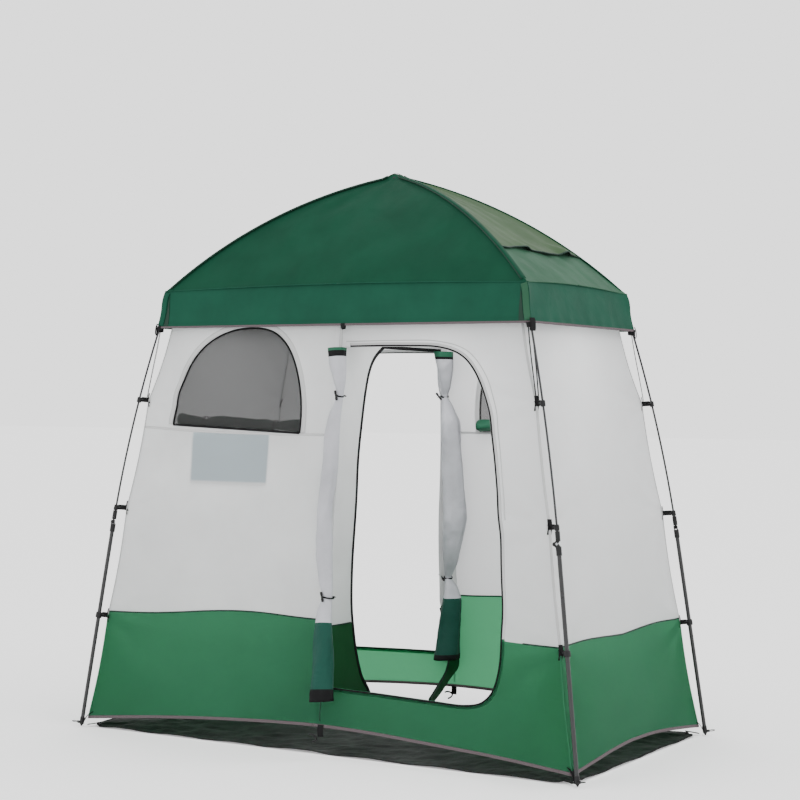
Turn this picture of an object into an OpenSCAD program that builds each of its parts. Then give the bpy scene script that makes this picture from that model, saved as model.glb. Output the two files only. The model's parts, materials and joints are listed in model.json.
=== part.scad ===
// Two-room privacy shower tent on a folding hub frame, in millimetres.
// The origin is on the ground under the hub, +X runs along the long front, the front faces -Y.

/* [Footprint] */
// Distance between the left and right feet
foot_span_x = 2266; // [2100:1:2400]
// Distance between the front and rear feet
foot_span_y = 1227; // [1120:1:1320]

/* [Frame heights] */
// Height of the hub's rib pins
hub_pin_z = 2262; // [2200:1:2300]
// Height of the eave hinges
eave_z = 1794; // [1740:1:1830]
// Distance of the eave hinges from the centre
eave_r = 930; // [900:1:960]
// Height of the knee hinges
knee_z = 850; // [800:1:900]
// Distance of the knee hinges from the centre
knee_r = 1160; // [1145:1:1175]
// How far a roof rib bows above its straight line
rib_bow = 65; // [55:1:75]
// How far an upper leg rod bows out of its straight line
rod_bow = 20; // [14:1:24]

/* [Tubes] */
// Diameter of the glass-fibre ribs and rods
rod_d = 8; // [7:0.5:8]
// Outer diameter of the steel leg tubes
tube_d = 16; // [14:0.5:17]
// Wall of the steel leg tubes
tube_wall = 0.8; // [0.6:0.1:1.2]

/* [Fabric] */
// Thickness of the fabric solids
cloth = 2; // [1.5:0.5:3]
// Distance of a wall corner from the centre at the ground
wall_foot_r = 1270; // [1255:1:1275]
// How far a wall corner leans in per millimetre of height
wall_lean = 0.2; // [0.19:0.005:0.21]
// Height of the walls' top edge
wall_top = 1740; // [1700:1:1750]
// Height of the seam between the upper and lower wall
seam_z = 480; // [440:1:520]
// Height of the hem at the corners
hem_corner_z = 42; // [38:1:60]
// Height of the hem at the middle of the long walls
hem_mid_z = 110; // [90:1:120]
// Height of the valance's lower edge
valance_z = 1652; // [1640:1:1690]

/* [Openings] */
// Height of a doorway's sill
sill_z = 245; // [220:1:280]
// Height of a doorway's top
door_top = 1572; // [1540:1:1600]
// Width of a doorway
door_w = 750; // [700:1:760]
// Height of a window's lower edge
window_z = 1240; // [1200:1:1300]
// Height of a window's top
window_top = 1648; // [1600:1:1660]
// Width of a window
window_w = 610; // [560:1:640]

/* [Hidden] */
CORNERS = ["front_right", "front_left", "rear_right", "rear_left"];
CORNER_PARTS = ["roof_rib", "eave_bracket", "eave_pin", "leg_top", "leg_rod",
                "knee_block", "knee_pin", "knee_fork", "leg_tube", "foot"];
SHARED = ["roof_hub", "hub_cap", "hub_pins", "lantern_ring", "canopy", "roof_vents",
          "front_wall", "rear_wall", "left_wall", "right_wall", "lower_band", "divider_wall",
          "window_screens", "window_covers", "door_rolls", "divider_roll", "floor_sheet",
          "wall_clips", "guy_loops", "storage_pocket"];

azimuth = atan2(foot_span_y, foot_span_x);   // of a corner, from the X axis
foot_r = norm([foot_span_x, foot_span_y]) / 2;
clear = 0.05;                                // radial, in pin bores and sockets

// hub and pins
hub_pin_r = 36;      // distance of a rib pin from the centre
pin_r = 2.5;
eye_r = 7.5;         // rounded end of a tongue or cheek
tongue = 6;          // thickness of a tongue
cheek = 4;           // thickness of a cheek
slot = tongue + 0.8; // gap between two cheeks
reach = 34;          // from an eave pin to the start of a socket
socket_r = 7;
socket_l = 28;

// knee
knee_offset = 14;    // of the pin from the leg's line, sideways
knee_pin_r = 3;
knee_gap = 10;       // from the pin's level to each socket
block_r = 9;
fork_r = tube_d / 2 + 2.5;
block_l = 36;
fork_l = 32;
tube_lean = atan2(foot_r - knee_r, knee_z);
toe_r = 4;           // rounded tip of a foot
leg_l = norm([foot_r - knee_r, knee_z]);
toe = leg_l - toe_r / cos(tube_lean);  // from the knee to the centre of the tip
tube_end = leg_l - 14;                 // from the knee to the tube's lower end
ring_r = 13;                           // of a foot's wire ring
lug_reach = 14;                        // from the leg's line to the lug's hole

// colours
forest = "#23523c";
moss = "#3a7159";
roof_green = "#6b8f72";
pale = "#cbcbcb";
mesh_grey = "#7f7f7f";
steel = "#a9acae";
black = "#1c1c1e";

// ---------- arcs in a corner's upright plane ----------

// [centre r, centre z, radius, start angle, end angle] of the arc from p to q that bows by b
function bow_arc(p, q, b) =
    let (half = norm(q - p) / 2, radius = half * half / (2 * b) + b / 2,
         along = (q - p) / (2 * half), up = [-along.y, along.x],
         centre = (p + q) / 2 - (radius - b) * up,
         from = atan2((p - centre).y, (p - centre).x), to = atan2((q - centre).y, (q - centre).x))
    [centre.x, centre.y, radius, from, to];
function on_arc(arc, a, out = 0) = [arc[0], arc[1]] + (arc[2] + out) * [cos(a), sin(a)];

rib_arc = bow_arc([hub_pin_r, hub_pin_z], [eave_r, eave_z], rib_bow);
rod_arc = bow_arc([eave_r, eave_z], [knee_r, knee_z], rod_bow);
function turn(arc, length) = length / arc[2] * 180 / PI;  // angle of a length on an arc

// A solid round rod on an arc, from angle a down to angle b
module arc_rod(arc, a, b, d)
    translate([arc[0], 0, arc[1]]) rotate([90, 0, 0]) rotate([0, 0, b])
        rotate_extrude(angle = a - b, $fn = 720) translate([arc[2], 0]) circle(d = d, $fn = 24);

// ---------- placing ----------

module at_corner(c)
    mirror([c % 2, 0, 0]) mirror([0, floor(c / 2), 0]) rotate([0, 0, -azimuth]) children();
// local frames at the hinges: Z runs back along the rod or tube, away from the pin
module at_hub_pin() translate([hub_pin_r, 0, hub_pin_z]) children();
module at_eave() translate([eave_r, 0, eave_z]) children();
module at_knee() translate([knee_r, 0, knee_z]) rotate([0, -tube_lean, 0]) children();

// A flat link in the XZ plane: an eye at the origin and a neck up to the socket
module link2d(length, neck) {
    circle(r = eye_r, $fn = 48);
    translate([-neck, 0]) square([2 * neck, length]);
}
module plate(thick, length, neck)
    rotate([90, 0, 0]) translate([0, 0, -thick / 2]) linear_extrude(thick) link2d(length, neck);
module pin_hole(r) rotate([90, 0, 0]) cylinder(r = r + clear, h = 60, center = true, $fn = 48);
module pin(r, half)
    rotate([90, 0, 0]) {
        translate([0, 0, -half]) cylinder(r = r, h = 2 * half, $fn = 48);
        translate([0, 0, half]) cylinder(r = r + 1.6, h = 1.5, $fn = 48);
        translate([0, 0, -half - 1]) cylinder(r = r + 1.2, h = 1, $fn = 48);
    }

// ---------- roof hub ----------

module roof_hub() color(black)
    difference() {
        union() {
            translate([0, 0, hub_pin_z - 20]) cylinder(r = 22, h = 30, $fn = 96);
            for (c = [0:3]) at_corner(c) at_hub_pin() rotate([90, 0, 0])
                translate([0, 0, -(slot / 2 + cheek)]) linear_extrude(slot + 2 * cheek) {
                    circle(r = eye_r, $fn = 48);
                    translate([-22, -eye_r]) square([22, 2 * eye_r]);
                }
        }
        for (c = [0:3]) at_corner(c) {
            translate([20, -slot / 2, hub_pin_z - 40]) cube([40, slot, 80]);
            at_hub_pin() pin_hole(pin_r);
        }
        translate([0, 0, hub_pin_z - 21]) cylinder(r = 3 + clear, h = 16, $fn = 48);
    }

module hub_cap() color(black)
    translate([0, 0, hub_pin_z + 10]) rotate_extrude($fn = 96)
        polygon([[0, 0], [19, 0], [19, 4], [15, 9], [8, 12.5], [0, 13.5]]);

module hub_pins() color(steel)
    for (c = [0:3]) at_corner(c) at_hub_pin() pin(pin_r, slot / 2 + cheek + 0.1);

// A steel eye under the hub, for a lantern or a shower bag
module lantern_ring() color(steel) {
    translate([0, 0, hub_pin_z - 36]) cylinder(r = 3, h = 30, $fn = 48);
    translate([0, 0, hub_pin_z - 50]) rotate([90, 0, 0])
        rotate_extrude($fn = 96) translate([15, 0]) circle(r = 2.5, $fn = 32);
}

// ---------- roof rib, eave and upper leg ----------

module roof_rib() color("#3b3b3d") {
    arc_rod(rib_arc, rib_arc[3] - turn(rib_arc, 16), rib_arc[4] + turn(rib_arc, reach + 6), rod_d);
    difference() {
        at_hub_pin() rotate([0, 180 - rib_arc[3], 0]) plate(tongue, 30, 4.5);
        at_hub_pin() pin_hole(pin_r);
    }
}

module eave_bracket() color(black)
    difference() {
        at_eave() rotate([0, -rib_arc[4], 0]) difference() {
            union() {
                plate(slot + 2 * cheek, reach + 1, 6.5);
                translate([0, 0, reach]) cylinder(r = socket_r, h = socket_l, $fn = 64);
            }
            translate([-30, -slot / 2, -30]) cube([60, slot, reach + 30]);
            pin_hole(pin_r);
        }
        arc_rod(rib_arc, rib_arc[3] - 1, rib_arc[4] + turn(rib_arc, reach + 6) - 0.002,
                rod_d + 2 * clear);
    }

module eave_pin() color(steel) at_eave() pin(pin_r, slot / 2 + cheek + 0.1);

module leg_top() color(black)
    difference() {
        at_eave() rotate([0, 180 - rod_arc[3], 0]) difference() {
            union() {
                plate(tongue, reach + 1, 5);
                translate([0, 0, reach]) cylinder(r = socket_r, h = socket_l, $fn = 64);
            }
            pin_hole(pin_r);
        }
        arc_rod(rod_arc, rod_arc[3] - turn(rod_arc, reach + 6) + 0.001, rod_arc[4], rod_d + 2 * clear);
    }

module leg_rod() color("#3b3b3d")
    arc_rod(rod_arc, rod_arc[3] - turn(rod_arc, reach + 6), rod_arc[4] + turn(rod_arc, knee_gap + 4),
            rod_d);

// ---------- knee: in its frame X is the pin and Z runs up the leg ----------

module knee_plate(thick, side)
    translate([-thick / 2, 0, 0]) rotate([90, 0, 90]) linear_extrude(thick) difference() {
        union() {
            translate([-knee_offset, 0]) circle(r = eye_r, $fn = 48);
            polygon([[-knee_offset, side * eye_r], [-knee_offset + 5.6, -side * 5],
                     [5, side * knee_gap], [5, side * (knee_gap + 4)], [-7, side * (knee_gap + 4)]]);
        }
        translate([-knee_offset, 0]) circle(r = knee_pin_r + clear, $fn = 48);
    }

module knee_block() color(black)
    difference() {
        at_knee() union() {
            knee_plate(tongue, 1);
            translate([0, 0, knee_gap]) cylinder(r = block_r, h = block_l, $fn = 64);
        }
        arc_rod(rod_arc, rod_arc[3], rod_arc[4] + turn(rod_arc, knee_gap + 4) - 0.001,
                rod_d + 2 * clear);
    }

module knee_pin() color(steel)
    at_knee() translate([0, -knee_offset, 0]) rotate([0, 0, 90]) pin(knee_pin_r, slot / 2 + cheek + 0.1);

module knee_fork() color(black)
    at_knee() difference() {
        union() {
            for (s = [-1, 1]) translate([s * (slot + cheek) / 2, 0, 0]) knee_plate(cheek, -1);
            translate([0, 0, -knee_gap - fork_l]) cylinder(r = fork_r, h = fork_l, $fn = 64);
        }
        translate([0, 0, -knee_gap - fork_l - 1])
            cylinder(r = tube_d / 2 + clear, h = fork_l - 5, $fn = 64);
    }

module leg_tube() color(steel)
    at_knee() translate([0, 0, -tube_end]) difference() {
        cylinder(d = tube_d, h = tube_end - knee_gap - 6.05, $fn = 64);
        translate([0, 0, -1]) cylinder(d = tube_d - 2 * tube_wall, h = tube_end, $fn = 64);
    }

module foot() {
    color(black) at_knee() difference() {
        union() {
            translate([0, 0, -toe]) sphere(r = toe_r, $fn = 48);
            translate([0, 0, -toe]) cylinder(r1 = toe_r, r2 = tube_d / 2 + 1.6, h = 8, $fn = 64);
            translate([0, 0, -toe + 8]) cylinder(r = tube_d / 2 + 1.6, h = 26, $fn = 64);
            translate([0, 0, -toe + 12]) rotate([90, 0, 0]) translate([0, 0, -2.5]) linear_extrude(5)
                difference() {
                    translate([0, -5]) square([18, 10]);
                    translate([lug_reach, 0]) circle(r = 2.2, $fn = 48);
                }
        }
        translate([0, 0, -tube_end]) cylinder(r = tube_d / 2 + clear, h = 60, $fn = 64);
    }
    // wire ring for a tent peg
    color(steel) at_knee() translate([lug_reach + ring_r, 0, -toe + 12])
        rotate_extrude($fn = 96) translate([ring_r, 0]) circle(r = 1.5, $fn = 32);
}

// ---------- canopy ----------

fabric_out = 13;  // of the canopy's outer face above the rib's line
peak_z = 2296;
// hip outline from near the peak to the valance's edge, as [r, z], set in by d
function hip(d) = concat(
    [for (i = [0:8])
        on_arc(rib_arc, rib_arc[3] - 2 - i * (rib_arc[3] - 2 - rib_arc[4]) / 8, fabric_out - d)],
    [[valance_r(valance_z) - d, valance_z]]);
function valance_r(z) = eave_r + 9.2 + (eave_z - z) * 0.325;
// Closed shell of rectangular rings, from lists of [r, z] outside and inside
module ring_shell(outer, inner, peak) {
    rows = concat(outer, [for (i = [len(inner) - 1:-1:0]) inner[i]]);
    n = len(rows);
    points = concat(
        [for (p = rows) for (k = [0:3])
            [p.x * cos(azimuth) * (k == 0 || k == 3 ? 1 : -1), p.x * sin(azimuth) * (k < 2 ? 1 : -1), p.y]],
        [[0, 0, peak], [0, 0, peak - cloth]]);
    sides = [for (i = [0:n - 2]) for (k = [0:3])
        [4 * i + k, 4 * (i + 1) + k, 4 * (i + 1) + (k + 1) % 4, 4 * i + (k + 1) % 4]];
    tops = [for (k = [0:3]) [4 * n, k, (k + 1) % 4]];
    under = [for (k = [0:3]) [4 * n + 1, 4 * (n - 1) + (k + 1) % 4, 4 * (n - 1) + k]];
    polyhedron(points, [for (f = concat(sides, tops, under)) [for (i = [len(f) - 1:-1:0]) f[i]]]);
}
// room that a corner's hinge and leg top take up, swollen by grow
module hinge_room(grow) {
    for (turn_by = [-rib_arc[4], 180 - rod_arc[3]]) at_eave() hull() {
        rotate([90, 0, 0])
            cylinder(r = eye_r + grow, h = slot + 2 * cheek + 4 + 2 * grow, center = true, $fn = 48);
        rotate([0, turn_by, 0]) translate([0, 0, reach])
            cylinder(r = socket_r + grow, h = socket_l + grow, $fn = 48);
    }
    arc_rod(rod_arc, rod_arc[3] - turn(rod_arc, 170), rod_arc[3], rod_d + 2 * grow);
}
// Roof and valance in one, with a pocket at each corner for the hinge
module canopy() color(forest) difference() {
    union() {
        ring_shell(hip(0), hip(cloth), peak_z);
        difference() {
            for (c = [0:3]) at_corner(c) hinge_room(1 + cloth);
            hull() ring_shell(hip(1), hip(cloth), peak_z - 1);
            translate([-2000, -2000, 0]) cube([4000, 4000, valance_z]);
        }
    }
    for (c = [0:3]) at_corner(c) hinge_room(1);
}

// Two storm flaps over the mesh vents in the short roof faces
vent_from = 0.50;
vent_to = 0.80;
vent_rows = 5;
module roof_vents() color(roof_green)
    for (s = [0, 1]) mirror([s, 0, 0]) {
        rows = [for (i = [0:vent_rows - 1]) let (t = i / (vent_rows - 1))
            on_arc(rib_arc,
                   rib_arc[3] + (vent_from + t * (vent_to - vent_from)) * (rib_arc[4] - rib_arc[3]),
                   fabric_out + 0.8 + 8 * t * t)];
        side = sin(azimuth) * 0.82;
        n = 4 * vent_rows;
        polyhedron([for (p = rows) for (k = [[-1, 0], [1, 0], [1, cloth], [-1, cloth]])
                       [p.x * cos(azimuth), k.x * p.x * side, p.y + k.y]],
                   concat([[0, 1, 2, 3], [n - 1, n - 2, n - 3, n - 4]],
                          [for (i = [0:4:n - 8]) for (k = [0:3])
                              [i + k, i + 4 + k, i + 4 + (k + 1) % 4, i + (k + 1) % 4]]));
    }

// ---------- walls: drawn flat, X across and Y up the slope ----------

function wall_r(z) = wall_foot_r - wall_lean * z;
lean_long = atan(wall_lean * sin(azimuth));   // of the front and rear walls
lean_short = atan(wall_lean * cos(azimuth));  // of the end walls
// u from -1 to 1 across a wall
function hem_z(u) = hem_mid_z - (hem_mid_z - hem_corner_z) * u * u;
function up_long(z) = z / cos(lean_long);

// an arc's points about [x, z]
function bend(x, z, rx, rz, a, b, n = 10) =
    [for (i = [0:n]) [x + rx * cos(a + (b - a) * i / n), z + rz * sin(a + (b - a) * i / n)]];
function raised(points) = [for (p = points) [p.x, up_long(p.y)]];
door_x = 45;  // of the door's hinge side from the centre seam
module doorway2d()
    polygon(raised(concat(
        [[door_x, sill_z], [door_x, door_top]],
        bend(door_x + door_w - 300, door_top - 480, 240, 480, 90, 20),
        bend(door_x + door_w - 90, sill_z + 90, 90, 90, 0, -90))));
window_x = -454;      // of the window's middle
arch_power = 2.5;     // squareness of its arch
module window2d(grow = 0)
    polygon(raised(concat(
        [[window_x + window_w / 2 + grow, window_z - grow],
         [window_x - window_w / 2 - grow, window_z - grow]],
        [for (i = [0:24]) let (a = 180 - i * 7.5)
            [window_x + sign(cos(a)) * pow(abs(cos(a)), 2 / arch_power) * (window_w / 2 + grow),
             window_z + pow(sin(a), 2 / arch_power) * (window_top - window_z + grow)]])));

module stand_long() translate([0, -wall_r(0) * sin(azimuth), 0]) rotate([90 - lean_long, 0, 0])
    translate([0, 0, -cloth]) linear_extrude(cloth) children();
module stand_short() rotate([0, 0, 90]) translate([0, -wall_r(0) * cos(azimuth), 0])
    rotate([90 - lean_short, 0, 0]) translate([0, 0, -cloth]) linear_extrude(cloth) children();

// a wall's outline between two heights; where low is 0, its lower edge is the curved hem
module wall2d(low, high, share, lean, gap) {
    from = low == 0 ? [for (i = [-6:6]) let (z = hem_z(i / 6)) [i / 6 * (wall_r(z) * share - gap), z]]
                    : [[-(wall_r(low) * share - gap), low], [wall_r(low) * share - gap, low]];
    to = [[wall_r(high) * share - gap, high], [-(wall_r(high) * share - gap), high]];
    polygon([for (p = concat(from, to)) [p.x, p.y / cos(lean)]]);
}
module long_wall() stand_long() difference() {
    wall2d(seam_z, wall_top, cos(azimuth), lean_long, 0);
    doorway2d();
    window2d();
}
module end_wall() stand_short() wall2d(seam_z, wall_top, sin(azimuth), lean_short, 3);

module front_wall() color(pale) long_wall();
module rear_wall() color(pale) rotate([0, 0, 180]) long_wall();
module right_wall() color(pale) end_wall();
module left_wall() color(pale) rotate([0, 0, 180]) end_wall();

module lower_band() color(moss)
    for (turn_by = [0, 180]) rotate([0, 0, turn_by]) {
        stand_long() difference() {
            wall2d(0, seam_z, cos(azimuth), lean_long, 0);
            doorway2d();
        }
        stand_short() wall2d(0, seam_z, sin(azimuth), lean_short, 3);
    }

module divider_wall() color(pale)
    rotate([90, 0, 90]) translate([0, 0, -cloth / 2]) linear_extrude(cloth) difference() {
        polygon([for (s = [-1, 1]) for (z = s < 0 ? [wall_top, 70] : [70, wall_top])
            [s * (wall_r(z) * sin(azimuth) - 4), z]]);
        polygon(concat(
            [[-110, 60], [380, 60], [380, 1575]],
            bend(60, 575, 390, 1000, 90, 180, 14),
            bend(-180, 330, 150, 140, 180, 250, 6)));
    }

module window_screens() color(mesh_grey)
    for (turn_by = [0, 180]) rotate([0, 0, turn_by]) translate([0, 3, 0]) stand_long() window2d(8);

// A soft roll, upright along a long wall's slope, between two heights
module roll(x, off, r, low, high)
    translate([x, -wall_r(0) * sin(azimuth) - off, 0]) rotate([-lean_long, 0, 0])
        translate([0, 0, up_long(low)]) cylinder(r = r, h = up_long(high - low), $fn = 48);

module window_covers() color(forest)
    for (turn_by = [0, 180]) rotate([0, 0, turn_by])
        translate([window_x - window_w / 2, -wall_r(window_z - 20) * sin(azimuth) + 24, window_z - 20])
            rotate([0, 90, 0]) cylinder(r = 17, h = window_w, $fn = 48);

module door_rolls() color("#b4b9bf")
    for (turn_by = [0, 180]) rotate([0, 0, turn_by]) roll(38, 31, 28, 205, 1550);

module divider_roll() color("#b4b9bf")
    translate([42, 402, 270]) cylinder(r = 38, h = 1290, $fn = 48);

// ---------- floor, clips, guy loops and pocket ----------

module floor_sheet() color("#1c241f")
    linear_extrude(cloth) offset(r = 60, $fn = 48) offset(delta = -60)
        square([2 * wall_r(0) * cos(azimuth) - 16, 2 * wall_r(0) * sin(azimuth) - 16], center = true);

// height of each clip and the radius of what it grips
clip_heights = [1355, 908, 462];
function leg_r(z) = z > knee_z
    ? rod_arc[0] + sqrt(rod_arc[2] * rod_arc[2] - (z - rod_arc[1]) * (z - rod_arc[1]))
    : knee_r + (foot_r - knee_r) * (knee_z - z) / knee_z;
module wall_clips() color(black)
    for (c = [0:3]) at_corner(c) for (z = clip_heights) {
        grip = (z > knee_z ? rod_d : tube_d) / 2 + 0.9;
        translate([leg_r(z), 0, z]) rotate([0, -tube_lean - (z > 1200 ? 5 : 0), 0])
            difference() {
                union() {
                    translate([0, 0, -9]) cylinder(r = grip + 3, h = 18, $fn = 48);
                    translate([wall_r(z) - leg_r(z) + 1, -1.5, -8])
                        cube([leg_r(z) - wall_r(z) - 2, 3, 16]);
                }
                translate([0, 0, -20]) cylinder(r = grip, h = 40, $fn = 48);
                translate([0, 0, -20]) rotate([0, 0, 25]) cube([30, 30, 40]);
            }
    }

module guy_loops() color(black) {
    for (c = [0:3]) at_corner(c) translate([valance_r(valance_z), 0, valance_z])
        rotate([90, 0, 0]) translate([0, 0, -10]) linear_extrude(20) difference() {
            translate([0.5, -8]) square([18, 22]);
            translate([3, -5]) square([13, 16]);
        }
    for (s = [0, 180]) rotate([0, 0, s]) {
        translate([0, -valance_r(valance_z) * sin(azimuth), valance_z]) rotate([90, 0, 90])
            translate([0, 0, -10]) linear_extrude(20) difference() {
                translate([-16, -8]) square([15, 20]);
                translate([-13.5, -5]) square([10, 14]);
            }
    }
}

// A hanging mesh pocket inside the left room, under the front window
module storage_pocket() color("#5f6f7c")
    translate([-650, -wall_r(1240) * sin(azimuth) + 44, 1020]) difference() {
        cube([360, 46, 190]);
        translate([6, 6, 6]) cube([348, 34, 200]);
    }

// ---------- every node ----------

module corner_part(p) {
    if (p == "roof_rib") roof_rib();
    if (p == "eave_bracket") eave_bracket();
    if (p == "eave_pin") eave_pin();
    if (p == "leg_top") leg_top();
    if (p == "leg_rod") leg_rod();
    if (p == "knee_block") knee_block();
    if (p == "knee_pin") knee_pin();
    if (p == "knee_fork") knee_fork();
    if (p == "leg_tube") leg_tube();
    if (p == "foot") foot();
}
for (c = [0:3]) for (p = CORNER_PARTS)
    at_corner(c) corner_part(p);
roof_hub();
hub_cap();
hub_pins();
lantern_ring();
canopy();
roof_vents();
front_wall();
rear_wall();
left_wall();
right_wall();
lower_band();
divider_wall();
window_screens();
window_covers();
door_rolls();
divider_roll();
floor_sheet();
wall_clips();
guy_loops();
storage_pocket();
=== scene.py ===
import json
import math

import bpy
import numpy as np
from mathutils import Matrix, Vector, noise
from mathutils.geometry import delaunay_2d_cdt


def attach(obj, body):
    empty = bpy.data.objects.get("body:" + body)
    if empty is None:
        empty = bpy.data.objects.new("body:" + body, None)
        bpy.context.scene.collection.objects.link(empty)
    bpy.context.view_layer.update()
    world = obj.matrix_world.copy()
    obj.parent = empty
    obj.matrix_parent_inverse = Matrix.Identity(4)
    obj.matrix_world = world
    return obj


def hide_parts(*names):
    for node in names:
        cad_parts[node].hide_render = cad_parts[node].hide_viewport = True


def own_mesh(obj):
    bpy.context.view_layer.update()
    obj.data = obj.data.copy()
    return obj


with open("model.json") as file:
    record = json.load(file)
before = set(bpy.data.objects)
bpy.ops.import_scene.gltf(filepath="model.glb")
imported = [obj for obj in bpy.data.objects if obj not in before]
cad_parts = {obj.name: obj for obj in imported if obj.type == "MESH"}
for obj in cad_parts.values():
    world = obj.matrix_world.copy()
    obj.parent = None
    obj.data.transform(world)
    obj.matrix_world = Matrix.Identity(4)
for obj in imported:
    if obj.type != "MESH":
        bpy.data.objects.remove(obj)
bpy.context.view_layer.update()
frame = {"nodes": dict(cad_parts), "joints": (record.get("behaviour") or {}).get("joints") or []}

# ------------------------------------------------------------------ frame sizes

JOINTS = {j["name"]: j for j in frame["joints"]}
HUB_PIN = Vector(JOINTS["front_right_rib_hinge"]["pos_m"])
EAVE = Vector(JOINTS["front_right_eave_hinge"]["pos_m"])
KNEE_Z = JOINTS["front_right_knee"]["pos_m"][2]
AZ = math.atan2(-EAVE.y, EAVE.x)          # azimuth of a corner, from the X axis
CA, SA = math.cos(AZ), math.sin(AZ)
EAVE_R = math.hypot(EAVE.x, EAVE.y)
HUB_R = math.hypot(HUB_PIN.x, HUB_PIN.y)
FOOT_R, KNEE_R = 1.288, 1.160
RIB_BOW, ROD_BOW = 0.065, 0.020
PEAK_Z = 2.296                            # top of the canopy
WALL_TOP, VALANCE_Z, SEAM_Z = 1.735, 1.652, 0.478
CLIP_Z = (1.355, 0.908, 0.462)
CORNERS = {"front_right": (1, -1), "front_left": (-1, -1), "rear_right": (1, 1), "rear_left": (-1, 1)}
FACES = {"front": 0, "right": math.pi / 2, "rear": math.pi, "left": -math.pi / 2}
LONG = ("front", "rear")
UP = Vector((0, 0, 1))


def faced(face):
    """A face's shares of a corner's distance, along and out; its number; the turn to it from the front."""
    along, out = (CA, SA) if face in LONG else (SA, CA)
    c, s = math.cos(FACES[face]), math.sin(FACES[face])
    return along, out, list(FACES).index(face), lambda x, y, z: Vector((x * c - y * s, x * s + y * c, z))


def corner_point(corner, r, z):
    sx, sy = CORNERS[corner]
    return Vector((sx * r * CA, sy * r * SA, z))


def bow_arc(p, q, bow):
    """Centre, radius and end angles of the arc from p to q, in a corner's upright plane."""
    p, q = Vector(p), Vector(q)
    half = (q - p).length / 2
    radius = half * half / (2 * bow) + bow / 2
    along = (q - p).normalized()
    centre = (p + q) / 2 - (radius - bow) * Vector((-along.y, along.x))
    return centre, radius, math.atan2(*reversed(p - centre)), math.atan2(*reversed(q - centre))


RIB = bow_arc((HUB_R, HUB_PIN.z), (EAVE_R, EAVE.z), RIB_BOW)
ROD = bow_arc((EAVE_R, EAVE.z), (KNEE_R, KNEE_Z), ROD_BOW)


def rib_point(t, out=0.0):
    """(r, z) at the share t of the rib, raised by out."""
    centre, radius, a, b = RIB
    angle = a + (b - a) * t
    return centre.x + (radius + out) * math.cos(angle), centre.y + (radius + out) * math.sin(angle)


def rod_r(z):
    """Distance of a leg's middle line from the centre at height z."""
    if z < KNEE_Z:
        return KNEE_R + (FOOT_R - KNEE_R) * (KNEE_Z - z) / KNEE_Z
    centre, radius = ROD[0], ROD[1]
    return centre.x + math.sqrt(radius ** 2 - (z - centre.y) ** 2)


# ------------------------------------------------------------------ small maths

def smooth(t):
    t = min(1.0, max(0.0, t))
    return t * t * (3 - 2 * t)


def curve(points, step=0.02, closed=False):
    """Evenly spaced points on a Catmull-Rom curve through the given ones."""
    pts = [Vector(p) for p in points]
    n = len(pts)
    fine = []
    for i in range(n if closed else n - 1):
        if closed:
            p0, p1, p2, p3 = (pts[(i + k) % n] for k in (-1, 0, 1, 2))
        else:
            p0, p1, p2, p3 = (pts[min(n - 1, max(0, i + k))] for k in (-1, 0, 1, 2))
        for k in range(24):
            t = k / 24
            fine.append(0.5 * (2 * p1 + (p2 - p0) * t + (2 * p0 - 5 * p1 + 4 * p2 - p3) * t * t
                               + (3 * p1 - p0 - 3 * p2 + p3) * t ** 3))
    fine.append(pts[0] if closed else pts[-1])
    return spaced(fine, step, closed)


def spaced(points, step, closed=False):
    """Points about step apart along a polyline; a closed one leaves out its last point."""
    pts = [Vector(p) for p in points]
    along = [0.0]
    for a, b in zip(pts, pts[1:]):
        along.append(along[-1] + (b - a).length)
    count = max(2, int(round(along[-1] / step)) + 1)
    out, k = [], 0
    for i in range(count - 1 if closed else count):
        s = along[-1] * i / (count - 1)
        while k < len(along) - 2 and along[k + 1] < s:
            k += 1
        span = along[k + 1] - along[k]
        out.append(pts[k].lerp(pts[k + 1], (s - along[k]) / span if span else 0))
    return out


def wave(a, b, seed, size, depth):
    """Smooth noise in a sheet, with bumps about size across and depth high."""
    return depth * noise.noise(Vector((a / size, b / size, seed * 7.31)))

# ------------------------------------------------------------------ meshes

def mesh_object(name, verts, faces, material):
    """A smooth mesh. material is a finish in MAT, a material, or a list of them."""
    mesh = bpy.data.meshes.new(name)
    mesh.from_pydata([tuple(v) for v in verts], [], faces)
    mesh.validate()
    mesh.update()
    mesh.polygons.foreach_set("use_smooth", [True] * len(mesh.polygons))
    for m in material if isinstance(material, list) else [material]:
        mesh.materials.append(MAT[m] if isinstance(m, str) else m)
    obj = bpy.data.objects.new(name, mesh)
    bpy.context.scene.collection.objects.link(obj)
    return obj


def thicken(obj, thick):
    """Gives a sheet its thickness, with crisp edges."""
    m = obj.modifiers.new("thickness", "SOLIDIFY")
    m.thickness = thick
    m.offset = 0.0
    obj.modifiers.new("edges", "EDGE_SPLIT").split_angle = math.radians(60)
    return obj


def paint(obj, bands):
    """Gives each face the finish of the first (top height, finish) band that it is under."""
    bands = [(top, MAT[finish]) for top, finish in bands]
    for _, m in bands:
        if m.name not in obj.data.materials:
            obj.data.materials.append(m)
    names = list(obj.data.materials.keys())
    for f in obj.data.polygons:
        z = f.center.z
        f.material_index = names.index(next(m.name for top, m in bands if z <= top))


def inside(points, outline):
    """Which of an (n, 2) array's points are inside a closed outline."""
    x, y = points[:, 0], points[:, 1]
    found = np.zeros(len(points), bool)
    px = np.array([p[0] for p in outline])
    py = np.array([p[1] for p in outline])
    for x0, y0, x1, y1 in zip(px, py, np.roll(px, -1), np.roll(py, -1)):
        crosses = (y0 > y) != (y1 > y)
        with np.errstate(divide="ignore", invalid="ignore"):
            found ^= crosses & (x < (x1 - x0) * (y - y0) / (y1 - y0) + x0)
    return found


def away(points, outline, gap):
    """Which points are further than gap from every point of an outline."""
    edge = np.array([[p[0], p[1]] for p in outline])
    return np.array([np.min(np.hypot(*(edge - p).T)) > gap for p in points])


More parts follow.
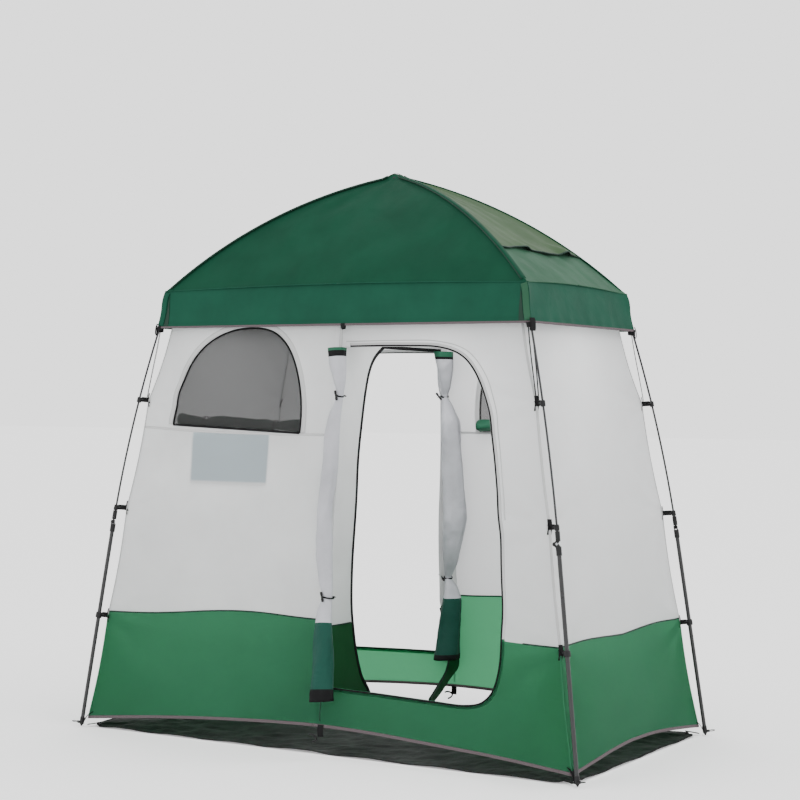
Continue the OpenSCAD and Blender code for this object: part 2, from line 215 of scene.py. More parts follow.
def panel(name, outline, holes, place, material, step=0.022, thick=0.0012):
    """A sheet cut to a flat outline with holes and put in space by place(a, b)."""
    loops = [spaced(list(outline) + [outline[0]], step, True)]
    loops += [spaced(list(h) + [h[0]], step * 0.7, True) for h in holes]
    low = np.array([min(p[k] for p in loops[0]) for k in (0, 1)])
    high = np.array([max(p[k] for p in loops[0]) for k in (0, 1)])
    row = step * math.sqrt(3) / 2
    grid = np.array([[low[0] + (i + 0.5 * (j % 2)) * step, low[1] + j * row]
                     for j in range(1, int((high[1] - low[1]) / row) + 1)
                     for i in range(int((high[0] - low[0]) / step) + 2)])
    keep = inside(grid, loops[0])
    for h in loops[1:]:
        keep &= ~inside(grid, h)
    grid = grid[keep]
    for loop in loops:
        grid = grid[away(grid, loop, step * 0.55)]
    flat = [Vector((p[0], p[1])) for loop in loops for p in loop] + [Vector(p) for p in grid]
    edges, first = [], 0
    for loop in loops:
        edges += [(first + i, first + (i + 1) % len(loop)) for i in range(len(loop))]
        first += len(loop)
    verts, _, faces, _, _, _ = delaunay_2d_cdt(flat, edges, [], 0, 1e-6)
    middle = np.array([np.mean([verts[i] for i in f], axis=0) for f in faces])
    good = inside(middle, loops[0])
    for h in loops[1:]:
        good &= ~inside(middle, h)
    faces = [f for f, ok in zip(faces, good) if ok]
    used = sorted({i for f in faces for i in f})
    number = {v: i for i, v in enumerate(used)}
    obj = mesh_object(name, [place(*verts[i]) for i in used],
                      [[number[i] for i in f] for f in faces], material)
    area = sum(abs((verts[f[1]] - verts[f[0]]).cross(verts[f[2]] - verts[f[0]])) / 2 for f in faces)
    obj["flat"] = [float(high[0] - low[0]), float(high[1] - low[1]), float(area)]
    return thicken(obj, thick)


def grid_faces(rows, cols):
    """Faces of a grid of points that has rows x cols cells."""
    n = cols + 1
    return [[j * n + i, j * n + i + 1, (j + 1) * n + i + 1, (j + 1) * n + i]
            for j in range(rows) for i in range(cols)]


def patch(name, rows, cols, point, material, thick=0.0012):
    """A sheet from a grid of point(i, j), with i and j from 0 to 1."""
    verts = [point(i / cols, j / rows) for j in range(rows + 1) for i in range(cols + 1)]
    obj = mesh_object(name, verts, grid_faces(rows, cols), material)
    obj["area"] = sum(f.area for f in obj.data.polygons)
    return thicken(obj, thick)


def declare(obj, flat=None, area=None):
    """Works out a sheet's flat size and area, its own outline's unless they are given; nothing is done with
    them.
    """
    if flat is None:
        width, length, area = obj["flat"]
        flat = (width, length)
    size = {} if area is None else {"area": min(area, flat[0] * flat[1])}


def sweep(name, path, ring, material, closed=False):
    """A skin along a path; ring(i, share) gives the cross-section's points about each path point."""
    rings = [ring(i, i / max(1, len(path) - 1)) for i in range(len(path))]
    n = len(rings[0])
    faces = []
    for i in range(len(rings) - (0 if closed else 1)):
        j = (i + 1) % len(rings)
        faces += [[i * n + k, i * n + (k + 1) % n, j * n + (k + 1) % n, j * n + k] for k in range(n)]
    if not closed:
        faces.append(list(range(n))[::-1])
        faces.append([(len(rings) - 1) * n + k for k in range(n)])
    return mesh_object(name, [p for r in rings for p in r], faces, material)


def frames(path, up):
    """Tangent, side and up at each point of a path; up(i) is a rough upward direction."""
    out = []
    for i in range(len(path)):
        t = (path[min(len(path) - 1, i + 1)] - path[max(0, i - 1)]).normalized()
        side = t.cross(up(i)).normalized()
        out.append((t, side, side.cross(t).normalized()))
    return out


def tube(name, points, radius, material, sides=10, step=0.01, closed=False):
    """A round cord or wire through points."""
    path = curve(points, step, closed)
    made = frames(path, lambda i: Vector((0.13, 0.29, 0.95)))
    def ring(i, share):
        _, side, up = made[i]
        return [path[i] + radius * (math.cos(2 * math.pi * k / sides) * side
                                    + math.sin(2 * math.pi * k / sides) * up) for k in range(sides)]
    return sweep(name, path, ring, material, closed)


def strap(name, points, width, thick, out, material, step=0.012, closed=False):
    """Flat webbing through points; out(p) is the direction that its face points in."""
    path = curve(points, step, closed)
    made = frames(path, lambda i: out(path[i]))
    def ring(i, share):
        _, side, up = made[i]
        w, h = width / 2, thick / 2
        return [path[i] + side * a + up * b for a, b in
                ((-w, -h * 0.4), (-w * 0.94, -h), (w * 0.94, -h), (w, -h * 0.4),
                 (w, h * 0.4), (w * 0.94, h), (-w * 0.94, h), (-w, h * 0.4))]
    return sweep(name, path, ring, material, closed)


def trim(name, place, points, width, thick, lift, material, closed=False, sharp=False):
    """A flat band sewn on a wall: points are in the wall's own coordinates."""
    step = 0.015
    flat = spaced(points, step, closed) if sharp else curve([(p[0], p[1], 0) for p in points], step, closed)
    count = len(flat)
    path = [place(p[0], p[1], lift) for p in flat]
    made = []
    for i, p in enumerate(flat):
        if closed:
            a, b = path[(i - 1) % count], path[(i + 1) % count]
        else:
            a, b = path[max(0, i - 1)], path[min(count - 1, i + 1)]
        normal = (place(p[0], p[1], lift + 0.01) - path[i]).normalized()
        made.append(((b - a).normalized().cross(normal).normalized(), normal))
    def ring(i, share):
        side, normal = made[i]
        w, h = width / 2, thick / 2
        return [path[i] + side * a + normal * b for a, b in
                ((-w, -h), (w, -h), (w, h * 0.5), (w * 0.8, h), (-w * 0.8, h), (-w, h * 0.5))]
    return sweep(name, path, ring, material, closed)


def lathe(name, profile, material, sides=32):
    """A turned shape about Z from [r, z] points."""
    rows = [[Vector((r * math.cos(2 * math.pi * k / sides), r * math.sin(2 * math.pi * k / sides), z))
             for k in range(sides)] for r, z in profile]
    faces = [[i * sides + k, i * sides + (k + 1) % sides, (i + 1) * sides + (k + 1) % sides,
              (i + 1) * sides + k] for i in range(len(rows) - 1) for k in range(sides)]
    faces.append(list(range(sides))[::-1])
    faces.append([(len(rows) - 1) * sides + k for k in range(sides)])
    return mesh_object(name, [p for row in rows for p in row], faces, material)


def join(name, objects):
    """One object made of several, with their materials."""
    verts, faces, which, materials = [], [], [], []
    for o in objects:
        base = len(verts)
        verts += [o.matrix_world @ v.co for v in o.data.vertices]
        index = []
        for m in o.data.materials:
            if m not in materials:
                materials.append(m)
            index.append(materials.index(m))
        for f in o.data.polygons:
            faces.append([base + i for i in f.vertices])
            which.append(index[f.material_index])
        bpy.data.objects.remove(o)
    obj = mesh_object(name, verts, faces, materials)
    obj.data.polygons.foreach_set("material_index", which)
    return obj

# ------------------------------------------------------------------ materials

def new_material(name):
    m = bpy.data.materials.new(name)
    m.use_nodes = True
    tree = m.node_tree
    return m, tree, tree.nodes["Principled BSDF"], tree.links.new


def add(tree, kind, vector=None, **values):
    """A new node with its values, and its Vector input linked to vector."""
    n = tree.nodes.new(kind)
    for key, value in values.items():
        if key in n.inputs.keys():
            n.inputs[key].default_value = value
        else:
            setattr(n, key, value)
    if vector is not None:
        tree.links.new(vector, n.inputs["Vector"])
    return n


def position(tree):
    return add(tree, "ShaderNodeTexCoord").outputs["Object"]


def math_node(tree, op, *values):
    n = add(tree, "ShaderNodeMath", operation=op)
    for k, v in enumerate(values):
        if hasattr(v, "is_linked"):
            tree.links.new(v, n.inputs[k])
        else:
            n.inputs[k].default_value = v
    return n.outputs[0]


def ramp(tree, fac, *stops):
    """A ramp from one (place, colour or grey) to the next."""
    n = add(tree, "ShaderNodeValToRGB")
    tree.links.new(fac, n.inputs["Fac"])
    for e, (at, value) in zip(n.color_ramp.elements, stops):
        e.position = at
        e.color = (*(value if isinstance(value, tuple) else (value,) * 3), 1)
    return n.outputs["Color"]


def shades(tree, fac, colour, spread, at=(0.3, 0.7)):
    """A colour that varies between two shares of itself."""
    return ramp(tree, fac, *((p, tuple(min(1, c * k) for c in colour)) for p, k in zip(at, spread)))


def bump(tree, shader, height, strength, distance, over=None):
    n = add(tree, "ShaderNodeBump", Strength=strength, Distance=distance)
    tree.links.new(height, n.inputs["Height"])
    if over is not None:
        tree.links.new(over, n.inputs["Normal"])
    tree.links.new(n.outputs["Normal"], shader.inputs["Normal"])
    return n.outputs["Normal"]


def mix_colours(tree, fac, low, high):
    n = add(tree, "ShaderNodeMix", data_type="RGBA")
    for value, k in ((fac, 0), (low, 6), (high, 7)):
        if isinstance(value, tuple):
            n.inputs[k].default_value = value
        else:
            tree.links.new(value, n.inputs[k])
    return n.outputs[2]


def in_box(tree, xyz, limits, soft=0.006):
    """1 inside a box in X and Z and 0 outside it, with soft edges."""
    over = None
    for axis, low, high in (("X", *limits[:2]), ("Z", *limits[2:])):
        for start, end in ((low - soft, low + soft), (high + soft, high - soft)):
            n = add(tree, "ShaderNodeMapRange", interpolation_type="SMOOTHSTEP")
            tree.links.new(xyz.outputs[axis], n.inputs["Value"])
            n.inputs["From Min"].default_value = start
            n.inputs["From Max"].default_value = end
            step = n.outputs["Result"]
            over = step if over is None else math_node(tree, "MULTIPLY", over, step)
    return over


def fabric(name, colour, rough=0.6, weave=0.0016, wrinkle=0.35, see=0.12, split=None, shadow_behind=None,
           spread=(0.86, 1.1), boost=1.2, through=None, spec=0.22):
    """Coated polyester: mottled colour, fine plain weave, soft creases, a little light let through.
    split = (height, lower colour) dyes it in two colours, and shadow_behind = (limits, colour) is a
    shadow painted into it where something behind the cloth shades it. see is the share of light let through,
    tinted by through or by the cloth's own colour."""
    m, tree, shader, link = new_material(name)
    where = position(tree)
    xyz = add(tree, "ShaderNodeSeparateXYZ")
    link(where, xyz.inputs[0])
    blotch = add(tree, "ShaderNodeTexNoise", where, Scale=5.0, Detail=5.0, Roughness=0.6).outputs["Fac"]
    col = shades(tree, blotch, colour, spread)
    if split:
        height, lower = split
        col = mix_colours(tree, math_node(tree, "GREATER_THAN", xyz.outputs["Z"], height),
                          shades(tree, blotch, lower, spread), col)
    # Painted shadow: a darker box of colour where something behind the cloth shades it.
    if shadow_behind:
        limits, shade = shadow_behind
        col = mix_colours(tree, in_box(tree, xyz, limits), col, (*shade, 1))
    link(col, shader.inputs["Base Color"])
    threads = add(tree, "ShaderNodeTexNoise", where, Scale=1 / weave, Detail=1.0)
    creases = add(tree, "ShaderNodeTexNoise", where, Scale=9.0, Detail=6.0, Roughness=0.55, Distortion=0.6)
    broad = add(tree, "ShaderNodeTexNoise", where, Scale=2.6, Detail=3.0, Distortion=1.2)
    height = math_node(tree, "ADD", math_node(tree, "MULTIPLY", creases.outputs["Fac"], wrinkle),
                       math_node(tree, "MULTIPLY", broad.outputs["Fac"], wrinkle * 1.6))
    folds = bump(tree, shader, height, 0.55, 0.02)
    normal = bump(tree, shader, threads.outputs["Fac"], 0.12, 0.0006, folds)
    link(ramp(tree, creases.outputs["Fac"], (0.2, rough - 0.08), (0.8, rough + 0.1)),
         shader.inputs["Roughness"])
    shader.inputs["Sheen Weight"].default_value = 0.02
    shader.inputs["Specular IOR Level"].default_value = spec
    if see:
        passing = add(tree, "ShaderNodeBsdfTranslucent")
        if through:
            passing.inputs["Color"].default_value = (*through, 1)
        else:
            lit = add(tree, "ShaderNodeHueSaturation", Value=boost)
            link(col, lit.inputs["Color"])
            link(lit.outputs["Color"], passing.inputs["Color"])
        link(normal, passing.inputs["Normal"])
        both = add(tree, "ShaderNodeMixShader", Fac=see)
        link(shader.outputs[0], both.inputs[1])
        link(passing.outputs[0], both.inputs[2])
        link(both.outputs[0], tree.nodes["Material Output"].inputs["Surface"])
    return m


def screen(name, colour, alpha):
    """Insect mesh: fine upright and level threads that let some light through."""
    m, tree, shader, link = new_material(name)
    where = position(tree)
    waves = [add(tree, "ShaderNodeTexWave", where, Scale=scale, bands_direction=axis)
             for axis, scale in (("X", 170.0), ("Z", 120.0))]
    threads = math_node(tree, "MAXIMUM", *(n.outputs["Fac"] for n in waves))
    link(shades(tree, threads, colour, (0.72, 1.12), (0.3, 0.9)), shader.inputs["Base Color"])
    bump(tree, shader, threads, 0.4, 0.0005)
    shader.inputs["Roughness"].default_value = 0.85
    shader.inputs["Alpha"].default_value = alpha
    return m


def webbing(name, colour):
    """Polypropylene tape with a ribbed weave."""
    m, tree, shader, link = new_material(name)
    ribs = add(tree, "ShaderNodeTexWave", position(tree), Scale=260.0, Distortion=1.5,
               bands_direction="DIAGONAL").outputs["Fac"]
    link(shades(tree, ribs, colour, (0.7, 1.35), (0.2, 0.8)), shader.inputs["Base Color"])
    bump(tree, shader, ribs, 0.5, 0.0006)
    shader.inputs["Roughness"].default_value = 0.8
    shader.inputs["Specular IOR Level"].default_value = 0.12
    return m


def moulded(name, colour, rough=0.45, spec=0.2, grain_depth=0.2):
    """Moulded plastic with a fine spark texture."""
    m, tree, shader, link = new_material(name)
    where = position(tree)
    grain = add(tree, "ShaderNodeTexNoise", where, Scale=900.0, Detail=2.0).outputs["Fac"]
    blotch = add(tree, "ShaderNodeTexNoise", where, Scale=40.0, Detail=3.0).outputs["Fac"]
    link(shades(tree, blotch, colour, (0.8, 1.3)), shader.inputs["Base Color"])
    link(ramp(tree, blotch, (0.3, rough - 0.06), (0.7, rough + 0.08)), shader.inputs["Roughness"])
    bump(tree, shader, grain, grain_depth, 0.0003)
    shader.inputs["Specular IOR Level"].default_value = spec
    return m


def metal(name, colour, rough=0.35, metallic=1.0):
    """Coated or plated steel with faint drawing lines and scuffs."""
    m, tree, shader, link = new_material(name)
    scuffs = add(tree, "ShaderNodeTexNoise", position(tree), Scale=60.0, Detail=6.0).outputs["Fac"]
    link(shades(tree, scuffs, colour, (0.85, 1.08), (0.35, 0.65)), shader.inputs["Base Color"])
    link(ramp(tree, scuffs, (0.3, rough - 0.08), (0.75, rough + 0.15)), shader.inputs["Roughness"])
    shader.inputs["Metallic"].default_value = metallic
    return m


GREEN_WALL = (0.013, 0.062, 0.041)
GREY = (0.66, 0.665, 0.665)
# Where the pocket behind the front wall's window half casts its painted shadow on the cloth.
BAND = tuple(c * 0.66 for c in GREY)
POCKET_SHADOW_BOX = (-0.656, -0.290, 1.030, 1.226)
MAT = {
    # roof_end and roof_flap are lighter copies of the roof cloth, with the light that falls on the canopy's
    # end faces painted into their colour.
    "roof": fabric("roof_green", (0.0035, 0.046, 0.024), rough=0.62, see=0.05, wrinkle=0.12, spec=0.05),
    "roof_end": fabric("roof_end_painted_lit_green", (0.024, 0.082, 0.045), see=0.08, wrinkle=0.2, spec=0.08),
    "roof_flap": fabric("roof_flap_painted_lit_sage", (0.050, 0.090, 0.044), see=0.08, wrinkle=0.25, spec=0.06),
    "valance": fabric("valance_green", (0.007, 0.058, 0.034), rough=0.62, see=0.08, wrinkle=0.25,
                      spec=0.06),
    # Dark piping cloth; also laid as painted shadow under the vent flaps and in the valance folds.
    "piping": fabric("piping_and_shade_green", (0.004, 0.024, 0.014), see=0.0, wrinkle=0.1),
    "green": fabric("wall_green", GREEN_WALL, see=0.66, wrinkle=0.3, through=(0.33, 0.70, 0.48), spec=0.1),
    "grey": fabric("wall_grey", GREY, see=0.6, wrinkle=0.25, spread=(0.96, 1.03),
                   through=(0.95, 0.95, 0.955)),
    "grey_band": fabric("wall_grey_band", BAND, see=0.05, wrinkle=0.2, spread=(0.95, 1.03)),
    # The front wall's window half, with the pocket's shadow painted into its colour.
    "grey_pocket": fabric("wall_grey_painted_pocket_shadow", GREY, see=0.5, wrinkle=0.25, spread=(0.96, 1.03),
                          boost=1.42, shadow_behind=(POCKET_SHADOW_BOX, (0.44, 0.50, 0.525))),
    "roll": fabric("rolled_door", (0.50, 0.505, 0.54), see=0.25, wrinkle=1.3, spread=(0.85, 1.1)),
    "roll_green": fabric("rolled_door_green", (0.008, 0.050, 0.036), see=0.03, wrinkle=0.9, spec=0.1),
    "cover": fabric("window_cover", (0.012, 0.085, 0.045), see=0.05, wrinkle=0.8),
    "divider": fabric("divider_cloth", GREY, see=0.5, wrinkle=0.3, split=(SEAM_Z, (0.008, 0.085, 0.026)),
                      spread=(0.95, 1.03), boost=1.3),
    "mesh": screen("window_mesh", (0.020, 0.020, 0.020), 0.62),
    "pocket": screen("pocket_mesh", (0.12, 0.15, 0.19), 0.7),
    "floor": fabric("floor_sheet", (0.005, 0.0075, 0.006), weave=0.004, wrinkle=1.0, see=0.0,
                    spread=(0.5, 1.5), spec=0.05),
    "hem": webbing("hem_binding", (0.088, 0.070, 0.076)),
    "strap": webbing("black_webbing", (0.008, 0.008, 0.0085)),
    "zip": webbing("zip_tape", (0.006, 0.006, 0.0065)),
    "plastic": moulded("black_plastic", (0.009, 0.009, 0.0095)),
    "rod": moulded("dark_glass_fibre", (0.022, 0.022, 0.024), rough=0.4, spec=0.3, grain_depth=0.03),
    "tube": metal("black_tube", (0.012, 0.012, 0.013), rough=0.34, metallic=0.1),
    "steel": metal("plated_steel", (0.42, 0.43, 0.44), rough=0.3),
}

# ------------------------------------------------------------------ camera, light and stage

def make_camera():
    """At eye height to the right of the front, as the reference view is framed."""
    heading, pitch, roll = math.radians(-30.57), math.radians(-0.006), math.radians(0.47)
    ahead = Vector((math.sin(heading) * math.cos(pitch), math.cos(heading) * math.cos(pitch),
                    math.sin(pitch)))
    right = ahead.cross(UP).normalized()
    up = right.cross(ahead)
    right, up = (right * math.cos(roll) + up * math.sin(roll), up * math.cos(roll) - right * math.sin(roll))
    data = bpy.data.cameras.new("camera")
    data.sensor_width = 36
    data.lens = 84.59
    camera = bpy.data.objects.new("camera", data)
    camera.matrix_world = Matrix(((right.x, up.x, -ahead.x, 3.963), (right.y, up.y, -ahead.y, -6.662),
                                  (right.z, up.z, -ahead.z, 1.364), (0, 0, 0, 1)))
    bpy.context.scene.collection.objects.link(camera)
    bpy.context.scene.camera = camera


def area_light(name, place, target, size, power, colour=(1, 1, 1)):
    data = bpy.data.lights.new(name, "AREA")
    data.shape = "DISK"
    data.size = size
    data.energy = power
    data.color = colour
    obj = bpy.data.objects.new(name, data)
    obj.location = place
    obj.visible_camera = False
    obj.rotation_euler = (Vector(target) - Vector(place)).to_track_quat("-Z", "Y").to_euler()
    bpy.context.scene.collection.objects.link(obj)


def make_stage():
    m, _, shader, _ = new_material("studio_floor")
    shader.inputs["Base Color"].default_value = (0.86, 0.86, 0.86, 1)
    shader.inputs["Roughness"].default_value = 0.9
    shader.inputs["Emission Color"].default_value = (1, 1, 1, 1)
    shader.inputs["Emission Strength"].default_value = 0.35
    size = 60
    floor = mesh_object("studio_floor", [(-size, -size, -0.001), (size, -size, -0.001),
                                         (size, size, -0.001), (-size, size, -0.001)], [[0, 1, 2, 3]], m)
    world = bpy.data.worlds.new("studio")
    world.use_nodes = True
    world.node_tree.nodes["Background"].inputs["Color"].default_value = (1, 1, 1, 1)
    world.node_tree.nodes["Background"].inputs["Strength"].default_value = 1.9
    bpy.context.scene.world = world
    area_light("key", (6.5, -1.0, 6.0), (0.3, 0, 1.2), 3.0, 130)
    area_light("fill", (-3.0, -7.0, 3.5), (0, 0, 1.0), 4.0, 60)
    area_light("room_right", (0.42, -0.05, 1.68), (0.42, 0.1, 0.0), 0.5, 9)
    area_light("room_left", (-0.42, -0.05, 1.68), (-0.42, 0.1, 0.0), 0.5, 6)


make_camera()
make_stage()

# ------------------------------------------------------------------ walls in space

WALL_PULLS = ((0.0, 1.268), (0.042, 1.258), (0.462, 1.180), (0.908, 1.105), (1.355, 1.017),
              (VALANCE_Z, 0.922), (1.80, 0.895))
WALL_FOOT_R, WALL_SLOPE = 1.264, 0.1965   # a wall's middle: its distance at the ground, and its lean


def corner_r(z):
    """A wall corner's distance from the centre: pulled out at each clip, hollow between."""
    for (z0, r0), (z1, r1) in zip(WALL_PULLS, WALL_PULLS[1:]):
        if z <= z1:
            t = max(0.0, (z - z0) / (z1 - z0))
            return r0 + (r1 - r0) * t - 0.007 * math.sin(math.pi * t) * (z0 > 0.03)
    return WALL_PULLS[-1][1]


def middle_r(z):
    """The same for the middle of a wall, which is straight."""
    return WALL_FOOT_R - WALL_SLOPE * z


def tension(a, z, half, seed):
    """Soft folds of a wall: broad slackness, and ridges that run out from each clip."""
    u = abs(a) / half
    d = wave(a, z * 0.6, seed, 0.45, 0.010) + wave(a, z, seed + 3, 0.16, 0.0035)
    for clip in CLIP_Z:
        dx, dz = half - abs(a), z - clip
        far = math.hypot(dx, dz)
        d += 0.006 * math.exp(-far / 0.22) * math.sin(9 * math.atan2(dz, dx + 0.02))
    return d * min(1.0, (1 - u) * 9) if u < 1 else 0.0


def wall_place(face):
    """place(a, z, lift) for a wall: a runs level along it, to the right as seen from outside."""
    along, out, number, turned = faced(face)
    lean = math.atan(WALL_SLOPE * out)
    def place(a, z, lift=0.0):
        half = corner_r(z) * along
        w = min(1.0, abs(a) / half) ** 6
        depth = (middle_r(z) * (1 - w) + corner_r(z) * w) * out
        depth += tension(a, z, half, number + 1) * smooth((WALL_TOP + 0.1 - z) / 0.3)
        return turned(a, -(depth + lift * math.cos(lean)), z + lift * math.sin(lean))
    place.half = lambda z: corner_r(z) * along
    return place


WALLS = {face: wall_place(face) for face in FACES}


def hem_z(face, a):
    u = min(1.0, abs(a) / WALLS[face].half(0.05))
    return 0.033 + (0.071 * (1 - u ** 1.6) if face in LONG else 0.038 * (1 - u ** 1.8))


def seam_z(face, a):
    u = min(1.0, abs(a) / WALLS[face].half(SEAM_Z))
    z = SEAM_Z + (0.022 if face in LONG else 0.004) * (1 - u * u) - 0.012 * math.cos(6 * a) * (1 - u)
    if face in LONG:
        z += 0.023 * smooth((a + 0.85) / 0.65) * smooth((0.5 - a) / 0.5)
    return z


DOOR_LEFT, DOOR_SILL, DOOR_HEAD = 0.040, 0.254, 1.571
DOOR_EDGE = [(0.072, DOOR_SILL), (0.17, 0.252), (0.30, 0.249), (0.52, 0.242), (0.655, 0.239),
             (0.735, 0.262), (0.782, 0.335), (0.798, 0.50), (0.784, 0.76), (0.763, 0.925),
             (0.727, 1.166), (0.700, 1.315), (0.655, 1.430), (0.580, 1.525), (0.470, 1.565),
             (0.30, 1.572), (0.17, 1.572), (0.072, DOOR_HEAD)]
DOOR = ([Vector((DOOR_LEFT, DOOR_SILL))] + [p.to_2d() for p in curve([(*p, 0) for p in DOOR_EDGE], 0.02)]
        + [Vector((DOOR_LEFT, DOOR_HEAD))])
DOOR_FACING = [(0.05, 1.590), (0.29, 1.592), (0.456, 1.588), (0.588, 1.552), (0.672, 1.462),
               (0.722, 1.345), (0.752, 1.165), (0.789, 0.925)]
WINDOW_X, WINDOW_Z, WINDOW_HALF, WINDOW_H = -0.452, 1.242, 0.306, 0.405


def window_outline(grow=0.0):
    """The arch over the sill, from left to right: a squarish half ellipse, leaning a little."""
    arch = []
    for i in range(41):
        a = math.pi * (1 - i / 40)
        across = math.copysign(abs(math.cos(a)) ** 0.86, math.cos(a))
        up = math.sin(a) ** 0.86
        x = across * (WINDOW_HALF + grow) + 0.020 * up + 0.034 * up ** 3 * (1 - across * across)
        arch.append(Vector((WINDOW_X + x, WINDOW_Z + up * (WINDOW_H + grow) - 0.013 * across * (1 - up))))
    return arch


# ------------------------------------------------------------------ riding on bodies

def gather(obj, body):
    """The piece goes with a body, with a mesh of its own."""
    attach(obj, body)
    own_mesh(obj)


def fold_side(obj, corner, k):
    """A wall piece goes with its corner's upper leg. The axis along X (k = 0) or Y (k = 1) that it would
    gather along, and its lean, are worked out but not used.
    """
    share, sign = (CA, SA)[k], CORNERS[corner][k]
    lean = math.atan((FOOT_R - EAVE_R) * share / EAVE.z)
    axis, anchor = [0, 0, math.sin(lean)], [0, 0, EAVE.z / 2]
    axis[k] = sign * math.cos(lean)
    anchor[k] = sign * 0.5 * (FOOT_R + EAVE_R) * share
    gather(obj, corner + "_upper_leg")


def fold_skirt(obj, corner, k):
    """A piece along the eave goes with its corner's upper leg too."""
    gather(obj, corner + "_upper_leg")


def fold_roof(obj, corner, k):
    """A roof piece goes with its rib. The direction across its face is worked out but not used."""
    eave = corner_point(corner, EAVE_R, EAVE.z)
    along = (eave - corner_point(corner, HUB_R, HUB_PIN.z)).normalized()
    across = Vector((0, -eave.y, 0)) if k else Vector((-eave.x, 0, 0))
    across -= along * across.dot(along)
    gather(obj, corner + "_rib")


def fold_middle(obj):
    """A piece of the divider goes with the shelter, over its own place."""
    gather(obj, "shelter")


def wall_corner(face, a):
    """The corner whose upper leg a piece at a on a wall goes with, and the axis along that wall."""
    if face == "front":
        return ("front_right" if a > 0 else "front_left"), 0
    if face == "rear":
        return ("rear_left" if a > 0 else "rear_right"), 0
    return ("rear_right" if face == "right" else "front_left"), 1


def fold_on(objects, face, a):
    for obj in objects:
        fold_side(obj, *wall_corner(face, a))


# ------------------------------------------------------------------ wall panels

def edge_row(place, f, side, n=14):
    """Points of a level edge f(a) of a wall's half, from its centre to its corner."""
    far = place.half(f(side * place.half(0.5)))
    return [Vector((side * far * i / n, f(side * far * i / n))) for i in range(n + 1)]


def edge_rows(place, f):
    """The same over the whole width, from left to right."""
    return edge_row(place, f, -1)[::-1] + edge_row(place, f, 1)[1:]


def rise(place, low, high, side):
    """Points up a wall's corner edge between two heights, ends left out."""
    return [Vector((side * place.half(z), z)) for z in np.linspace(low, high, 24)[1:-1]]


def half_outline(place, low, high, side):
    foot, top = edge_row(place, low, side), edge_row(place, high, side)
    return foot + rise(place, foot[-1].y, top[-1].y, side) + top[::-1]


def full_outline(place, low, high):
    foot, top = edge_rows(place, low), edge_rows(place, high)
    return (foot + rise(place, foot[-1].y, top[-1].y, 1) + top[::-1]
            + rise(place, foot[0].y, top[0].y, -1)[::-1])


def finish_panel(obj, node, face, a, trims=()):
    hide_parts(node)
    declare(obj)
    fold_on((obj, *trims), face, a)


def trimmer(face):
    """Makes sewn(tag, points, width, thick, lift, finish), which sews trims on a wall."""
    def sewn(tag, points, width, thick, lift, finish):
        return trim(f"{face}_wall_{tag}", WALLS[face], points, width, thick, lift, finish)
    sewn.seam = lambda tag, points: sewn(tag, points, 0.0055, 0.0034, 0.001, "piping")
    sewn.hem = lambda tag, points: sewn(tag, [(p.x, p.y + 0.005) for p in points], 0.012, 0.0045, 0.0,
                                        "hem")
    return sewn


